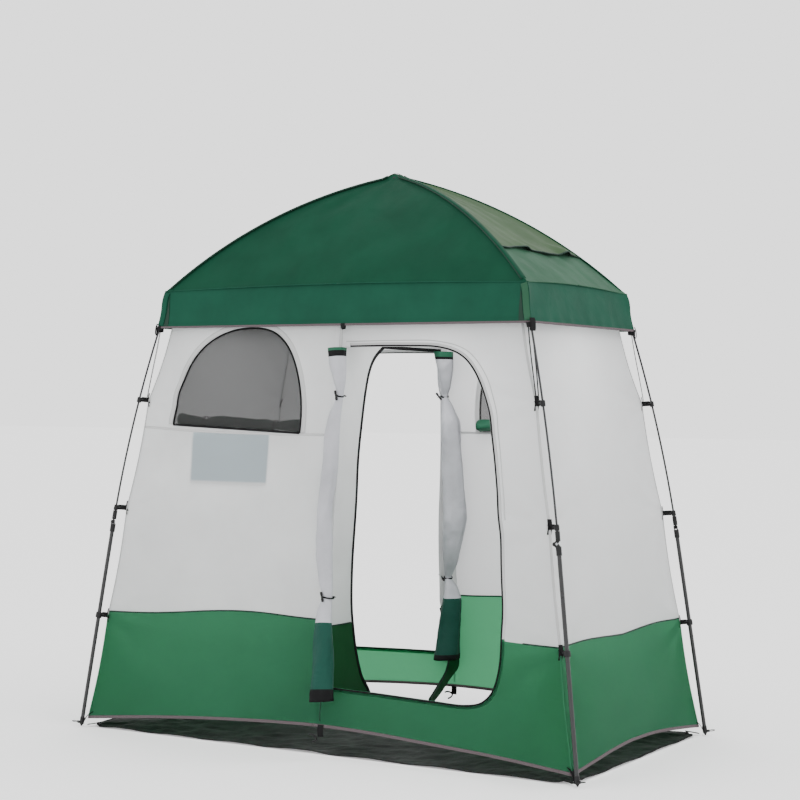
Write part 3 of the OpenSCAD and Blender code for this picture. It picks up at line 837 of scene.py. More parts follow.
def make_long_wall(face):
    place, sewn, name = WALLS[face], trimmer(face), face + "_wall"
    top = lambda a: WALL_TOP
    seam = lambda a: seam_z(face, a)
    hem = lambda a: hem_z(face, a)
    upper_cut = [p for p in DOOR if p.y > seam(p.x)]
    lower_cut = [p for p in DOOR if p.y <= seam(p.x)]
    in_x = (upper_cut[1].x + lower_cut[-1].x) / 2
    tops, seams, hems = (edge_row(place, f, 1) for f in (top, seam, hem))
    outer_seam = [p for p in seams if p.x > in_x + 0.02]
    jamb = [Vector((in_x, seam(in_x)))]
    middle = [Vector((0, seam(0))), Vector((DOOR_LEFT, seam(DOOR_LEFT)))]
    up = (middle + upper_cut[::-1] + jamb + outer_seam + rise(place, seams[-1].y, tops[-1].y, 1)
          + tops[::-1])
    low = (hems + rise(place, hems[-1].y, seams[-1].y, 1) + outer_seam[::-1] + jamb + lower_cut[::-1]
           + middle[::-1])

    grey = "grey_pocket" if face == "front" else "grey"
    window = panel(name + "_window_half", half_outline(place, seam, top, -1), [window_outline()], place,
                   grey)
    door = panel(name + "_door_half", up, [], place, "grey")
    low_window = panel(name + "_lower_window_half", half_outline(place, hem, seam, -1), [], place, "green")
    low_door = panel(name + "_lower_door_half", low, [], place, "green")
    net = panel(name + "_window_mesh", window_outline(0.004), [],
                lambda a, z, lift=0.0: place(a, z, -0.0022 + lift), "mesh", step=0.03, thick=0.0005)

    # the window's binding, the band stitched round it, and the seam across the panel under it
    arch = window_outline()
    rim = [sewn("window_binding", arch, 0.008, 0.003, 0.0015, "zip"),
           sewn("window_stitch_band", window_outline(0.016), 0.018, 0.0016, 0.0012, "grey_band"),
           sewn("window_sill", [arch[0], arch[-1]], 0.009, 0.004, 0.0015, "zip"),
           sewn("window_seam", [(-place.half(1.24) + 0.004, 1.243), (-0.5, 1.226), (-0.02, 1.224)],
                0.009, 0.0022, 0.0012, "grey_band")]
    # the doorway's zip, its tape and facing, and the seam beside it
    way = DOOR[1:-1]
    wide = [(p.x + (p.x - 0.42) * 0.012, p.y + (p.y - 0.9) * 0.006) for p in way]
    zips = [sewn("door_zip_tape", wide, 0.017, 0.0020, 0.0012, "grey_band"),
            sewn("door_zip_coil", way, 0.0060, 0.0055, 0.0022, "zip"),
            sewn("door_facing", DOOR_FACING, 0.0035, 0.0018, 0.001, "grey_band"),
            sewn("centre_seam", [(0.026, 0.50), (0.022, 1.1), (0.026, VALANCE_Z)], 0.012, 0.0024, 0.0012,
                 "grey_band")]
    paint(zips[0], [(seam(0.8), "green"), (9, "grey_band")])
    left = [sewn.seam("seam_left", edge_row(place, seam, -1)),
            sewn.hem("hem_left", edge_row(place, hem, -1))]
    right = [sewn.seam("seam_right", outer_seam), sewn.hem("hem_right", hems),
             sewn("lower_centre_seam", [(0.030, 0.215), (0.027, 0.16), (0.030, 0.125)], 0.0035, 0.002, 0.001,
                  "piping")]
    finish_panel(window, name, face, -1, rim)
    finish_panel(door, name, face, 1, zips)
    finish_panel(low_window, "lower_band", face, -1, left)
    finish_panel(low_door, "lower_band", face, 1, right)
    finish_panel(net, "window_screens", face, -1, ())


def make_end_wall(face):
    place, sewn, name = WALLS[face], trimmer(face), face + "_wall"
    seam = lambda a: seam_z(face, a)
    hem = lambda a: hem_z(face, a)
    upper = panel(name + "_upper", full_outline(place, seam, lambda a: WALL_TOP), [], place, "grey")
    lower = panel(name + "_lower", full_outline(place, hem, seam), [], place, "green")
    trims = [sewn.seam("seam", edge_rows(place, seam)), sewn.hem("hem", edge_rows(place, hem))]
    finish_panel(upper, name, face, 0)
    finish_panel(lower, "lower_band", face, 0, trims)


for face in LONG:
    make_long_wall(face)
for face in ("right", "left"):
    make_end_wall(face)


def make_corner_seams():
    """A narrow piping down each corner, where two walls meet."""
    for corner, (sx, sy) in CORNERS.items():
        points = [corner_point(corner, corner_r(z), z) for z in np.linspace(0.045, 1.70, 60)]
        out = Vector((sx * CA, sy * SA, 0.2))
        low = [p for p in points if p.z < SEAM_Z]
        high = [p for p in points if p.z >= SEAM_Z - 0.02]
        for part, pts, finish in (("lower", low, "green"), ("upper", high, "grey_band")):
            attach(strap(f"{corner}_{part}_corner_seam", pts, 0.010, 0.003, lambda p: out, finish),
                    corner + "_upper_leg")


make_corner_seams()

# ------------------------------------------------------------------ divider and its sill

DIVIDER_EDGE = [(-0.079, 1.579), (-0.153, 1.533), (-0.200, 1.472), (-0.234, 1.376), (-0.258, 1.25),
                (-0.278, 1.12), (-0.293, 0.95), (-0.311, 0.72), (-0.322, 0.543), (-0.306, 0.42),
                (-0.280, 0.331), (-0.240, 0.250), (-0.19, 0.195)]


def divider_place(b, z, lift=0.0):
    fade = min(1.0, (0.62 - abs(b)) * 12) if abs(b) < 0.62 else 0
    return Vector((wave(b, z, 11, 0.35, 0.010) * fade + lift, b, z))


def make_divider():
    depth = lambda z: middle_r(z) * SA - 0.006
    edge = [p.to_2d() for p in curve([(*p, 0) for p in DIVIDER_EDGE + [(-0.11, 0.075)]], 0.02)]
    flap = [(0.388, 1.575), (0.392, 0.50), (0.45, 0.36), (0.488, 0.27), (0.468, 0.20), (0.42, 0.155),
            (0.36, 0.115), (0.305, 0.082), (0.335, 0.064), (0.42, 0.105), (0.50, 0.155), (0.57, 0.19)]
    outline = ([Vector((-depth(0.13) + 0.004, 0.13))] + edge[::-1] + [Vector(p) for p in flap]
               + [Vector((depth(z), z)) for z in np.linspace(0.21, WALL_TOP, 20)]
               + [Vector((-depth(z), z)) for z in np.linspace(WALL_TOP, 0.15, 20)])
    cloth = panel("divider_wall_cloth", outline, [], divider_place, "divider")
    sill = [(0.40, 0.47), (0.45, 0.36), (0.487, 0.27), (0.467, 0.20), (0.42, 0.157), (0.31, 0.085)]
    bands = [trim("divider_" + tag, divider_place, points, width, 0.005, 0.0, finish)
             for tag, points, width, finish in (
                 ("zip", edge, 0.016, "zip"),
                 ("head_binding", [(-0.08, 1.579), (0.15, 1.577), (0.39, 1.576)], 0.014, "zip"),
                 ("sill_binding", sill, 0.010, "piping"),
                 ("seam", [(b, SEAM_Z) for b in np.linspace(-0.55, -0.33, 6)], 0.006, "piping"))]
    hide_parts("divider_wall")
    declare(cloth)
    for o in [cloth] + bands:
        fold_middle(o)


make_divider()

# ------------------------------------------------------------------ rolled cloth

CLOTH = 0.0011
CORE = 0.26                               # share of a roll's half width that its first turn starts at


def roll_line(table, count=120):
    """(height, centre, half width) all along a roll, from the few that its table gives."""
    zs = np.linspace(table[0][0], table[-1][0], count)
    known = list(zip(*table))
    return list(zip(zs, np.interp(zs, known[0], known[1]), np.interp(zs, known[0], known[2])))


def line_at(table, z):
    known = list(zip(*table))
    return float(np.interp(z, known[0], known[1])), float(np.interp(z, known[0], known[2]))


def across(path, up, squash):
    """For each point of a path, the two directions across it; the second is squash long."""
    made = frames(path, lambda i: up)
    return [(side, over * squash) for _, side, over in made]


def rolled(name, path, axes, size, turns, finish, start, seeds, per_turn=22, length=9, grain=1.3,
           swing=(2.2, 1.7)):
    """Cloth rolled up along a path. axes are the directions across it, size(i) is the half width.
    The radius varies with noise round it and along it, and with three soft ridges that wander by swing."""
    n = int(turns * per_turn)
    def ring(i, share):
        side, up = axes[i]
        half = size(i)
        t = min(CLOTH, half * (1 - CORE) / turns * 0.4)
        outer, inner = [], []
        s = share * length
        for k in range(n + 1):
            angle = start + 2 * math.pi * k / per_turn
            c, d = math.cos(angle), math.sin(angle)
            r = half * (CORE + (1 - CORE) * k / n)
            r *= (1 + 0.12 * noise.noise(Vector((c * grain, s, d * grain + seeds[0])))
                  + 0.05 * noise.noise(Vector((c * 3.1, s * 3.3, d * 3.1 + seeds[1])))
                  + 0.06 * math.sin(3 * angle + swing[0] * math.sin(s * swing[1] + seeds[2])))
            outer.append(path[i] + side * c * r + up * d * r)
            inner.append(path[i] + side * c * (r - t) + up * d * (r - t))
        return outer + inner[::-1]
    return sweep(name, path, ring, finish)


def toggle(name, half, place):
    """A turned bar, the same both ways from its middle; half is its profile from one end."""
    profile = [(r, -z) for r, z in half] + [(r, z) for r, z in half[::-1] if z]
    bar = lathe(name, profile, "plastic", 16)
    bar.data.transform(place)
    return bar


def tie(name, centre, across, depth, around, toggle_side):
    """A webbing tie round a roll, with its toggle. across and depth are its half sizes."""
    side = around.cross(Vector((0, 1, 0))).normalized()
    up = side.cross(around).normalized()
    points = [centre + side * across * math.cos(a) + up * depth * math.sin(a)
              + around * 0.004 * math.sin(a + 1) for a in np.linspace(0, 2 * math.pi, 19)[:-1]]
    loop = strap(name + "_loop", points, 0.006, 0.0016, lambda p: p - centre, "strap", step=0.006,
                 closed=True)
    at = centre + side * toggle_side[0] * (across + 0.007) + up * toggle_side[1] * (depth + 0.007)
    lie = (around + side * 0.9 * toggle_side[0]).normalized()
    turn = lie.to_track_quat("Z", "Y").to_matrix().to_4x4()
    half = [(0.0020, 0.020), (0.0048, 0.0185), (0.0052, 0.010), (0.0038, 0.003)]
    return [loop, toggle(name + "_toggle", half, Matrix.Translation(at) @ turn)]


DOOR_ROLL = [  # height, centre, half width
    (0.205, 0.072, 0.052), (0.265, 0.066, 0.0500), (0.34, 0.059, 0.0455), (0.436, 0.052, 0.042),
    (0.54, 0.050, 0.032), (0.600, 0.0535, 0.022), (0.65, 0.046, 0.029), (0.745, 0.031, 0.036),
    (0.819, 0.029, 0.037), (0.93, 0.0225, 0.0325), (1.05, 0.026, 0.033), (1.20, 0.0335, 0.0345),
    (1.30, 0.041, 0.026), (1.375, 0.0475, 0.012), (1.42, 0.047, 0.024), (1.50, 0.044, 0.037),
    (1.56, 0.043, 0.040)]
DIVIDER_ROLL = [  # height, centre in Y, half width
    (0.262, 0.350, 0.088), (0.34, 0.373, 0.079), (0.42, 0.400, 0.070), (0.51, 0.424, 0.063),
    (0.56, 0.426, 0.046), (0.600, 0.425, 0.021), (0.66, 0.420, 0.046), (0.75, 0.416, 0.064),
    (0.85, 0.422, 0.080), (1.00, 0.412, 0.073), (1.15, 0.398, 0.068), (1.27, 0.386, 0.066),
    (1.34, 0.384, 0.040), (1.38, 0.384, 0.018), (1.42, 0.372, 0.036), (1.50, 0.345, 0.058),
    (1.57, 0.325, 0.066)]
DOOR_SQUASH, DIVIDER_SQUASH = 0.86, 0.62
OFF_WALL = 0.012


def roll_bands(roll, foot, green, grey):
    """A door's colours up its roll: black foot band, green, grey, black head band, green."""
    paint(roll, [(foot, "zip"), (green, "roll_green"), (grey, "roll"), (1.550, "zip"),
                 (9, "cover")])


def make_door_roll(face):
    place, front = WALLS[face], face == "front"
    seat = lambda c, z, half: place(c, z, OFF_WALL + half * DOOR_SQUASH)
    line = roll_line(DOOR_ROLL)
    path = [seat(c + 0.003 * math.sin(z * 19), z, half) for z, c, half in line]
    seed = 5 if front else 6
    axes = across(path, Vector((0, 1, 0)), DOOR_SQUASH)
    roll = rolled(face + "_door_rolled", path, axes, lambda i: line[i][2], 4.8, "roll",
                  2.4 if front else -0.7, (seed * 3.7, seed, seed))
    roll_bands(roll, 0.258, 0.508, 1.532)
    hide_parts("door_rolls")
    parts = []
    for z in (1.375, 0.600):
        c, half = line_at(DOOR_ROLL, z)
        tag = round(z * 1000)
        parts += tie(f"{face}_door_tie_{tag}", seat(c, z, half), half + 0.003, half * DOOR_SQUASH + 0.003,
                     (place(c, z + 0.01) - place(c, z)).normalized(), (0.3, -1.0 if front else 1.0))
        parts.append(strap(f"{face}_door_tie_anchor_{tag}",
                           [place(c + 0.012, z, 0.001), place(c + 0.010, z + 0.004, 0.008),
                            place(c + 0.006, z, 0.014)], 0.012, 0.0016, lambda p: UP, "strap", step=0.004))
    declare(roll, (0.74, 1.36), 0.9)
    fold_on([roll] + parts, face, 1)


def make_divider_roll():
    line = roll_line(DIVIDER_ROLL)
    seat = lambda c, z, half: Vector((OFF_WALL + half * DIVIDER_SQUASH, c, z))
    path = [seat(c, z, half) for z, c, half in line]
    axes = [(Vector((DIVIDER_SQUASH, 0, 0)), Vector((0, 1, 0)))] * len(path)
    roll = rolled("divider_door_rolled", path, axes, lambda i: line[i][2], 3.4, "roll", 3.9, (40, 9, 0),
                  per_turn=26, length=0.085 * 119, grain=1.2, swing=(2, 1.3))
    roll_bands(roll, 0.285, 0.515, 1.535)
    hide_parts("divider_roll")
    parts = []
    for z in (1.38, 0.600):
        c, half = line_at(DIVIDER_ROLL, z)
        parts += tie(f"divider_tie_{round(z * 1000)}", seat(c, z, half), half * DIVIDER_SQUASH + 0.004,
                     half + 0.003, UP, (1.0, -0.4))
    declare(roll, (0.70, 1.38), 0.88)
    for o in [roll] + parts:
        fold_middle(o)


def make_window_cover(face):
    """The window's storm cover, rolled down on the inside and held by two toggles."""
    place = WALLS[face]
    inward = 1 if face == "front" else -1
    ties = (WINDOW_X - 0.17, WINDOW_X + 0.17)
    xs = np.linspace(WINDOW_X - WINDOW_HALF + 0.01, WINDOW_X + WINDOW_HALF - 0.01, 46)
    height = lambda x: 1.266 - 0.035 * (x - WINDOW_X)
    path = [place(x, height(x) + 0.004 * math.sin(x * 23), -0.034) for x in xs]
    def size(i):
        pinch = sum(math.exp(-((xs[i] - c) / 0.02) ** 2) for c in ties)
        return 0.029 - 0.009 * pinch + 0.003 * math.sin(xs[i] * 31)
    roll = rolled(face + "_window_cover_rolled", path, across(path, UP, 0.9), size, 3.6, "cover", 0.0,
                  (9 * 3.7, 9, 9))
    parts = []
    for c in ties:
        middle = place(c, height(c), -0.034)
        tag = round(abs(c) * 1000)
        pts = [middle + Vector((0, math.cos(a) * 0.020, math.sin(a) * 0.022))
               for a in np.linspace(0, 6.28, 17)[:-1]]
        parts.append(strap(f"{face}_cover_tie_{tag}", pts, 0.009, 0.0018, lambda p, m=middle: p - m,
                           "strap", step=0.006, closed=True))
        parts.append(toggle(f"{face}_cover_toggle_{tag}",
                            [(0.0018, 0.016), (0.0042, 0.0145), (0.0046, 0.008), (0.0032, 0)],
                            Matrix.Translation(middle + Vector((0, inward * 0.026, 0.012)))
                            @ Matrix.Rotation(math.radians(70), 4, "Y")))
    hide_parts("window_covers")
    declare(roll, (0.61, 0.41), 0.2)
    fold_on([roll] + parts, face, -1)


for face in LONG:
    make_door_roll(face)
make_divider_roll()
for face in LONG:
    make_window_cover(face)


def make_pocket():
    """A mesh pocket with a bound mouth, hung on the inside under the front window."""
    low, high, x0, x1 = 1.022, 1.205, -0.655, -0.292
    def hang(a, z, lift=0.0):
        u = min(1, max(0, (a - x0) / (x1 - x0)))
        v = (z - low) / (high - low)
        depth = 0.006 + 0.038 * math.sin(math.pi * u) ** 0.5 * (0.35 + 0.65 * v) * smooth(v * 4)
        return WALLS["front"](a, z, -depth + lift)
    box = [(x0, high), (x0, low), (x1, low), (x1, high)]
    net = panel("storage_pocket_net", [Vector(p) for p in box[::-1]], [], hang, "pocket", step=0.016,
                thick=0.0006)
    bands = [trim("storage_pocket_mouth", hang, [(x0, high), (-0.47, high - 0.004), (x1, high)], 0.016, 0.003,
                  0.0, "strap"),
             trim("storage_pocket_edge", hang, box, 0.010, 0.002, 0.001, "strap", sharp=True)]
    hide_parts("storage_pocket")
    declare(net, (x1 - x0, high - low))
    fold_on([net] + bands, "front", -1)


make_pocket()

# ------------------------------------------------------------------ floor

FLOOR_R, FLOOR_CORNER = 1.262, 0.055


def make_floor():
    """A loose sheet on the ground inside the walls, its corners pulled out by toggled straps."""
    lx, ly = FLOOR_R * CA - 0.006, FLOOR_R * SA - 0.006
    edge = []
    signs = ((-1, -1), (1, -1), (1, 1), (-1, 1))
    for (x0, y0), (x1, y1) in zip(signs, signs[1:] + signs[:1]):
        a, b = Vector((x0 * lx, y0 * ly)), Vector((x1 * lx, y1 * ly))
        t = (b - a).normalized()
        n = Vector((-t.y, t.x))
        a, b = a + t * FLOOR_CORNER, b - t * FLOOR_CORNER
        for u in np.linspace(0, 1, 25):
            ripple = 0.002 * math.sin(9 * u + x0 + y1) * math.sin(math.pi * u)
            edge.append(a.lerp(b, u) + n * (0.003 + ripple))
    def lie(x, y, lift=0.0):
        """Fine and broad wrinkles, rays out of each corner, and a lifted rim."""
        dx, dy = lx - abs(x), ly - abs(y)
        rim = min(dx, dy)
        w = (abs(wave(x, y, 21, 0.07, 0.007)) + abs(wave(x * 0.7, y, 22, 0.16, 0.013))
             + 0.002 * abs(wave(x, y, 23, 0.03, 1.0)))
        w += 0.007 * math.exp(-math.hypot(dx, dy) / 0.2) * (1 + math.sin(11 * math.atan2(dx, dy)))
        w *= 0.35 + 0.65 * smooth(rim / 0.08)
        w += 0.004 * smooth(1 - rim / 0.03) * (0.5 + 0.5 * math.sin(x * 21 + y * 17))
        return Vector((x, y, 0.0018 + w + lift))
    obj = panel("floor_sheet_laid", edge, [], lie, "floor", step=0.018, thick=0.0009)
    straps = [trim("floor_sheet_binding", lie, edge, 0.012, 0.0028, 0.0004, "strap", closed=True)]
    for name, (sx, sy) in CORNERS.items():
        pull = Vector((sx * CA, sy * SA, 0))
        points = [pull * r + Vector((0, 0, z)) for r, z in ((1.205, 0.016), (1.232, 0.012), (1.262, 0.007))]
        straps.append(strap(name + "_floor_strap", points, 0.018, 0.002, lambda p: UP, "strap", step=0.006))
    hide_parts("floor_sheet")
    declare(obj)
    for o in [obj] + straps:
        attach(o, "shelter")


make_floor()

# ------------------------------------------------------------------ canopy

EAVE_OUT = 0.013
PEAK_T = 0.045                            # share of the hip over the hub's cap
FLAP_T = 0.785                            # where a vent flap's edge is
VENT_T, VENT_H = 0.42, 0.20
END_T = 0.60                              # where the lower cloth of an end face starts
FLAP_LONG, VENT_LONG, FACE_LONG, END_LONG, SKIRT_LONG = 0.72, 0.19, 0.70, 0.42, 0.155
EAVE_WIDE = 0.965


def hip(t):
    """(r, z) of the canopy's hip at the share t from its peak to its eave."""
    if t < PEAK_T:
        r, z = rib_point(0.01, EAVE_OUT)
        k = t / PEAK_T
        return r * k, PEAK_Z + (z - PEAK_Z) * k ** 1.3
    return rib_point(0.01 + 0.99 * (t - PEAK_T) / (1 - PEAK_T), EAVE_OUT)


def corner_bulge(u, z):
    """How far the cloth stands out over an eave hinge."""
    return 0.016 * math.exp(-((z - EAVE.z + 0.015) / 0.055) ** 2) * abs(u) ** 14


def roof_place(face):
    """place(u, t, lift): u from -1 to 1 across a roof face, t from the peak to the eave."""
    along, out, number, turned = faced(face)
    def place(u, t, lift=0.0):
        r, z = hip(t)
        r2, z2 = hip(min(1.0, t + 0.02))
        r1, z1 = hip(max(0.0, t - 0.02))
        slope = Vector(((r2 - r1) * out, z2 - z1)).normalized()
        sag = 0.016 * (1 - u * u) * math.sin(math.pi * min(1.0, t)) ** 0.8
        fold = wave(u * 1.2, t * 1.2, 31 + number, 0.30, 0.004)
        fold += 0.0007 * math.sin(26 * u * t) * smooth((t - 0.6) * 3)
        fold *= (1 - u ** 8) * smooth(t * 6) * smooth((1.02 - t) * 12)
        proud = lift - sag + fold
        r += corner_bulge(u, z)
        rise = 0.013 * (1 - u * u) * smooth((t - 0.6) / 0.4)
        return turned(u * r * along, -(r * out - slope.y * proud), z + slope.x * proud + rise)
    return place


def valance_place(face):
    """place(u, v, lift): u from -1 to 1 along the skirt, v from 0 at the eave to 1 at the hem."""
    along, out, number, turned = faced(face)
    seed = 41 + number
    top_r, top_z = hip(1.0)
    def place(u, v, lift=0.0):
        z = top_z + (VALANCE_Z - top_z) * v
        r = top_r + (0.983 - top_r) * (top_z - z) / (top_z - VALANCE_Z) + corner_bulge(u, z)
        ripple = wave(u * 1.4, v * 0.3, seed, 0.22, 0.007 * along) + 0.0012 * math.sin(u * 31 + seed) * v
        ripple *= v * min(1.0, (1 - abs(u)) * 14)
        arch = (1 - u * u) * (1 - v)
        return turned(u * r * along, -(r * out + ripple + lift - 0.006 * arch), z + 0.013 * arch)
    return place


ROOF = {face: roof_place(face) for face in FACES}
VALANCE = {face: valance_place(face) for face in FACES}
FACE_CORNERS = {"front": ("front_left", "front_right"), "right": ("front_right", "rear_right"),
                "rear": ("rear_right", "rear_left"), "left": ("rear_left", "front_left")}


def make_vent(face, corner, side):
    """Half of the flap over an end face, its edge a little propped up with a dark strip painted under it as
    its shadow, and the mesh under it.
    """
    place, share = ROOF[face], faced(face)[0]
    def flap_point(i, j):
        u, t = side * i, FLAP_T * j
        t += (0.006 * math.sin(5 * u + 0.6) + 0.004 * math.sin(13 * u)) * j ** 8
        prop = (0.007 + 0.020 * math.exp(-((u - 0.58) / 0.10) ** 2)
                + 0.008 * math.exp(-((u + 0.38) / 0.09) ** 2) + 0.003 * math.sin(11 * u))
        return place(u, t, max(0.0035, 0.0035 + prop * smooth((j - 0.86) / 0.14) * (1 - u ** 8)))
    tag = f"{face}_{corner}"
    flap = patch("canopy_vent_flap_" + tag, 46, 26, flap_point, "roof_flap")
    # A dark strip under the flap's edge: the shadow of the propped flap, painted.
    outward = Vector((0.5 if face == "right" else -0.5, 0, 1))
    shadow_strip = strap("canopy_vent_flap_shadow_strip_" + tag, [flap_point(i / 26, 1.0) for i in range(27)], 0.006, 0.004,
                lambda p: outward, "piping")
    gauze = patch("canopy_vent_mesh_" + tag, 8, 20, lambda i, j: place(side * i, VENT_T + VENT_H * j, -0.001),
                  "mesh", 0.0005)
    for o in (flap, shadow_strip, gauze):
        fold_roof(o, corner, 1)
    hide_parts("roof_vents")
    declare(flap, (hip(FLAP_T)[0] * share, FLAP_LONG), flap["area"])
    declare(gauze, (hip(VENT_T + VENT_H)[0] * share, VENT_LONG), gauze["area"])


def make_roof_half(face, corner, side):
    """Half of a roof face, from its middle to a corner, with its valance, hem, binding and eave piping."""
    place, skirt, end = ROOF[face], VALANCE[face], face not in LONG
    tag = f"{face}_{corner}"
    start = END_T if end else 0.0
    # The end faces and their eave piping take the painted-lit copy of the roof cloth.
    cloth = patch("canopy_" + tag, 40 if end else 56, 26 if end else 40,
                  lambda i, j: place(side * i, start + (1 - start) * j), "roof_end" if end else "roof")
    if end:
        make_vent(face, corner, side)
    cells = 30 if end else 60
    band = patch("canopy_valance_" + tag, 10, 28 if end else 48, lambda i, j: skirt(side * i, j), "valance")
    sewn = [patch("canopy_valance_hem_" + tag, 2, cells,
                  lambda i, j: skirt(side * i, 0.88 + 0.12 * j, 0.0010), "valance", 0.0022),
            tube("canopy_eave_piping_" + tag, [place(side * i / 30, 1.0, 0.0015) for i in range(31)],
                 0.0022, "roof_end" if end else "valance", 8, 0.02),
            patch("canopy_valance_binding_" + tag, 1, cells,
                  lambda i, j: skirt(side * i, 0.953 + 0.052 * j, 0.0024), "hem", 0.0034)]
    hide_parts("canopy")
    fold_roof(cloth, corner, int(end))
    for o in (band, *sewn):
        fold_skirt(o, corner, int(end))
    width = EAVE_WIDE * faced(face)[0]
    declare(cloth, (width, END_LONG if end else FACE_LONG),
            cloth["area"])
    declare(band, (width, SKIRT_LONG), band["area"])


def make_hip(corner, sx, sy):
    """The sleeve and seam over a rib, and the valance's flat-felled corner with a dark sheet beside it,
    painted as the shade of a fold.
    """
    radial = Vector((sx * CA, sy * SA, 0))
    left = sx * sy < 0
    pts = [radial * (hip(t)[0] + 0.001) + Vector((0, 0, hip(t)[1] + 0.003))
           for t in np.linspace(0.03, 0.985, 50)]
    sleeve = strap(corner + "_hip_sleeve", pts, 0.021, 0.006, lambda p: radial + Vector((0, 0, 1.6)), "roof")
    beside = UP.cross(radial) * (0.0110 if left else -0.0110) + Vector((0, 0, 0.002))
    seam = tube(corner + "_hip_seam", [p - beside for p in pts], 0.0022, "piping", 8, 0.02)
    skirt = VALANCE["front" if sy < 0 else "rear"]
    side = sx if sy < 0 else -sx
    pts = [skirt(side * 0.985, v, 0.004) for v in np.linspace(0.03, 0.93, 12)]
    # Two of the corner strips take the painted-lit copy of the roof cloth.
    edge = strap(corner + "_valance_edge", pts, 0.026, 0.003, lambda p: Vector((0, sy, 0.2)),
                 "roof_end" if left else "valance")
    # A dark sheet laid on the valance beside the corner: painted shade of a fold.
    fold = patch(corner + "_valance_fold_painted_shade", 12, 2,
                 lambda i, j: skirt(side * (0.966 - 0.026 * i * j), 0.14 + 0.80 * j, 0.0022), "piping")
    for o in (sleeve, seam):
        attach(o, corner + "_rib")
    for o in (edge, fold):
        fold_skirt(o, corner, 0)


for face, ends in FACE_CORNERS.items():
    for corner, side in zip(ends, (-1, 1)):
        make_roof_half(face, corner, side)
for corner, signs in CORNERS.items():
    make_hip(corner, *signs)

# ------------------------------------------------------------------ straps, clips and loops

def make_clip(at, radial, level, number, z):
    """The clip that holds the wall to a leg: a strap with its wings, and a barrel with its beak."""
    leg, wall = rod_r(z), corner_r(z)
    grip = 0.0045 if z > KNEE_Z else 0.0085
    reach = leg - grip
    parts = [strap(f"strap_{number}", [at(wall - 0.012, z - 0.004), at(wall + 0.006, z),
                                       at(reach - 0.004, z + 0.002)], 0.022, 0.002,
                   lambda p: Vector((0, 0, 0.4)) + level, "strap", step=0.004),
             strap(f"wing_{number}", [at(wall - 0.002, z + 0.028), at(wall + 0.003, z),
                                      at(wall - 0.002, z - 0.028)], 0.020, 0.0018,
                   lambda p: radial, "strap", step=0.006)]
    section = ((0.0008, -0.011), (0.0038, -0.011), (0.0046, -0.006), (0.0046, 0.006), (0.0038, 0.011),
               (0.0008, 0.011))
    barrel = lathe(f"clip_{number}", [(grip + dr, dz) for dr, dz in section], "plastic", 24)
    tilt = Vector((radial.x * -0.21, radial.y * -0.21, 1)).to_track_quat("Z", "Y").to_matrix().to_4x4()
    barrel.data.transform(Matrix.Translation(at(leg, z)) @ tilt)
    beak = strap(f"beak_{number}", [at(reach - 0.014, z), at(reach - 0.004, z + 0.003), at(reach + 0.001, z)],
                 0.012, 0.006, lambda p: UP, "plastic", step=0.003)
    return parts + [barrel, beak]


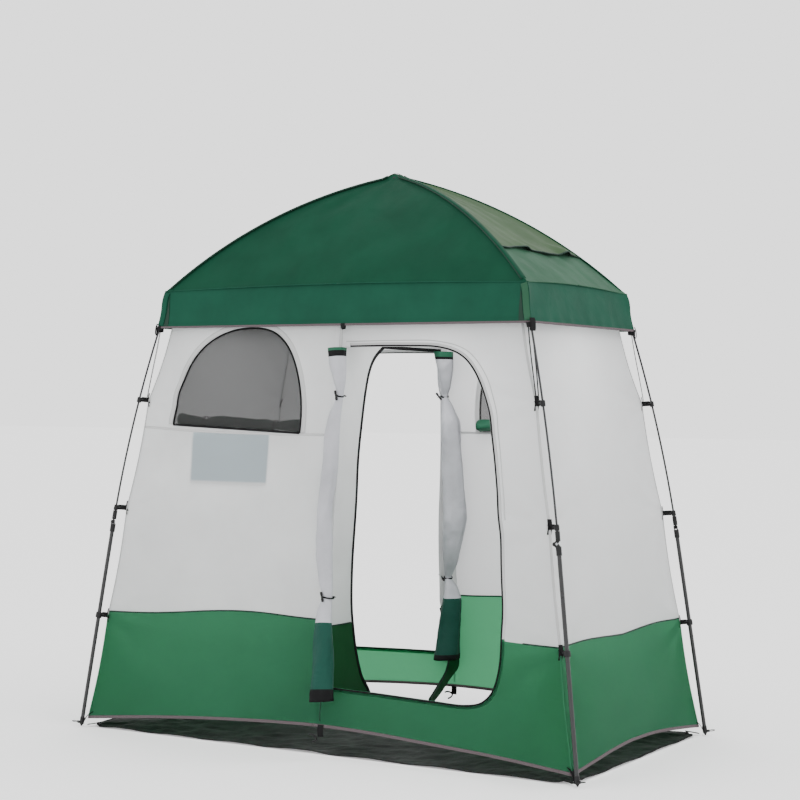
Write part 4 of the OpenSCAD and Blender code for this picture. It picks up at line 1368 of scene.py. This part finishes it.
def make_corner_straps(corner, sx, sy):
    radial = Vector((sx * CA, sy * SA, 0))
    level = Vector((-sy * SA, sx * CA, 0)).normalized()
    def at(r, z, off=0.0):
        return radial * r + Vector((0, 0, z)) + level * off
    def hang(obj, body="_upper_leg", node=None):
        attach(obj, corner + body)
        if node:
            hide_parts(node)
    for k, z in enumerate(CLIP_Z):
        hang(join(f"{corner}_wall_clip_{k + 1}", make_clip(at, radial, level, k, z)), node="wall_clips")
    # twin tapes from the canopy's corner down to the first clip
    for tag, off in (("a", -0.008), ("b", 0.008)):
        pts = [at(0.968, 1.665, off), at(0.986, 1.56, off * 1.1), at(1.006, 1.46, off),
               at(1.024, 1.366, off * 0.6)]
        hang(strap(f"{corner}_tension_tape_{tag}", pts, 0.005, 0.0014, lambda p: radial, "strap"))
    # webbing loop that holds the canopy's corner on the leg
    ring = [at(0.972 + 0.014 * math.cos(t), 1.648 + 0.004 * math.sin(t), 0.013 * math.sin(t))
            for t in np.linspace(0, 2 * math.pi, 15)[:-1]]
    collar = strap("collar", ring, 0.020, 0.0018,
                   lambda p: p - at(0.972, 1.648), "strap", step=0.006, closed=True)
    loop = ((0.984, 1.670), (0.990, 1.655), (0.992, 1.632), (0.988, 1.622), (0.986, 1.632), (0.986, 1.655))
    tab = strap("tab", [at(r, z) for r, z in loop], 0.024, 0.0018, lambda p: radial, "strap", step=0.005)
    hang(join(corner + "_guy_tab", [collar, tab]), node="guy_loops")
    # strap from the wall's lower corner to the foot
    pts = [at(r, z) for r, z in ((1.236, 0.062), (1.262, 0.046), (1.276, 0.022), (1.283, 0.010))]
    hang(strap(corner + "_foot_strap", pts, 0.022, 0.0022, lambda p: UP + radial, "strap", step=0.006),
         "_lower_leg")


for corner, signs in CORNERS.items():
    make_corner_straps(corner, *signs)


def make_middle_straps(face):
    """The ground strap with its hook at the middle of a long wall, and the tab on the valance above it."""
    place, skirt = WALLS[face], VALANCE[face]
    outward = Vector((0, -1 if face == "front" else 1, 0))
    low = [place(0.036, 0.112, 0.004), place(0.036, 0.098, 0.005), place(0.037, 0.080, 0.005),
           place(0.038, 0.068, 0.003)]
    belt = strap("belt", low, 0.026, 0.0024, lambda p: outward, "strap", step=0.008)
    centre = place(0.006 if face == "front" else 0.068, 0.068, 0.006)
    bends = ((-0.018, 0, 0.004), (-0.008, 0.006, 0.007), (0.006, 0.009, 0.005), (0.018, 0.006, -0.004),
             (0.012, 0, -0.016), (-0.002, 0.003, -0.022))
    peg = tube("hook", [centre + outward * out + Vector((x, 0, z)) for x, out, z in bends], 0.0036,
               "plastic", 10, 0.004)
    anchor = join(face + "_wall_ground_strap", [belt, peg])
    drop = lambda u, lift, z: skirt(u, 1.0, lift) + Vector((0, 0, z))
    tab = strap(face + "_valance_tab", [skirt(0.052, 0.95, 0.005), skirt(0.053, 1.0, 0.006),
                                        drop(0.056, 0.006, -0.012), drop(0.056, 0.001, -0.013),
                                        skirt(0.053, 0.97, -0.002)],
                0.018, 0.0018, lambda p: outward, "strap", step=0.005)
    fold_on([anchor], face, 1)
    fold_skirt(tab, *wall_corner(face, 1))


for face in LONG:
    make_middle_straps(face)

# ------------------------------------------------------------------ frame finishes

FINISH = {"roof_rib": "rod", "leg_rod": "rod", "leg_tube": "tube", "pin": "steel", "pins": "steel",
          "lantern_ring": "steel"}
for name, node in frame["nodes"].items():
    if node.hide_render:
        continue
    kind = next((m for ending, m in FINISH.items() if name.endswith(ending)), "plastic")
    for k in range(max(1, len(node.material_slots))):
        if len(node.data.materials) <= k:
            node.data.materials.append(None)
        node.data.materials[k] = MAT["steel" if name.endswith("foot") and k == 1 else kind]
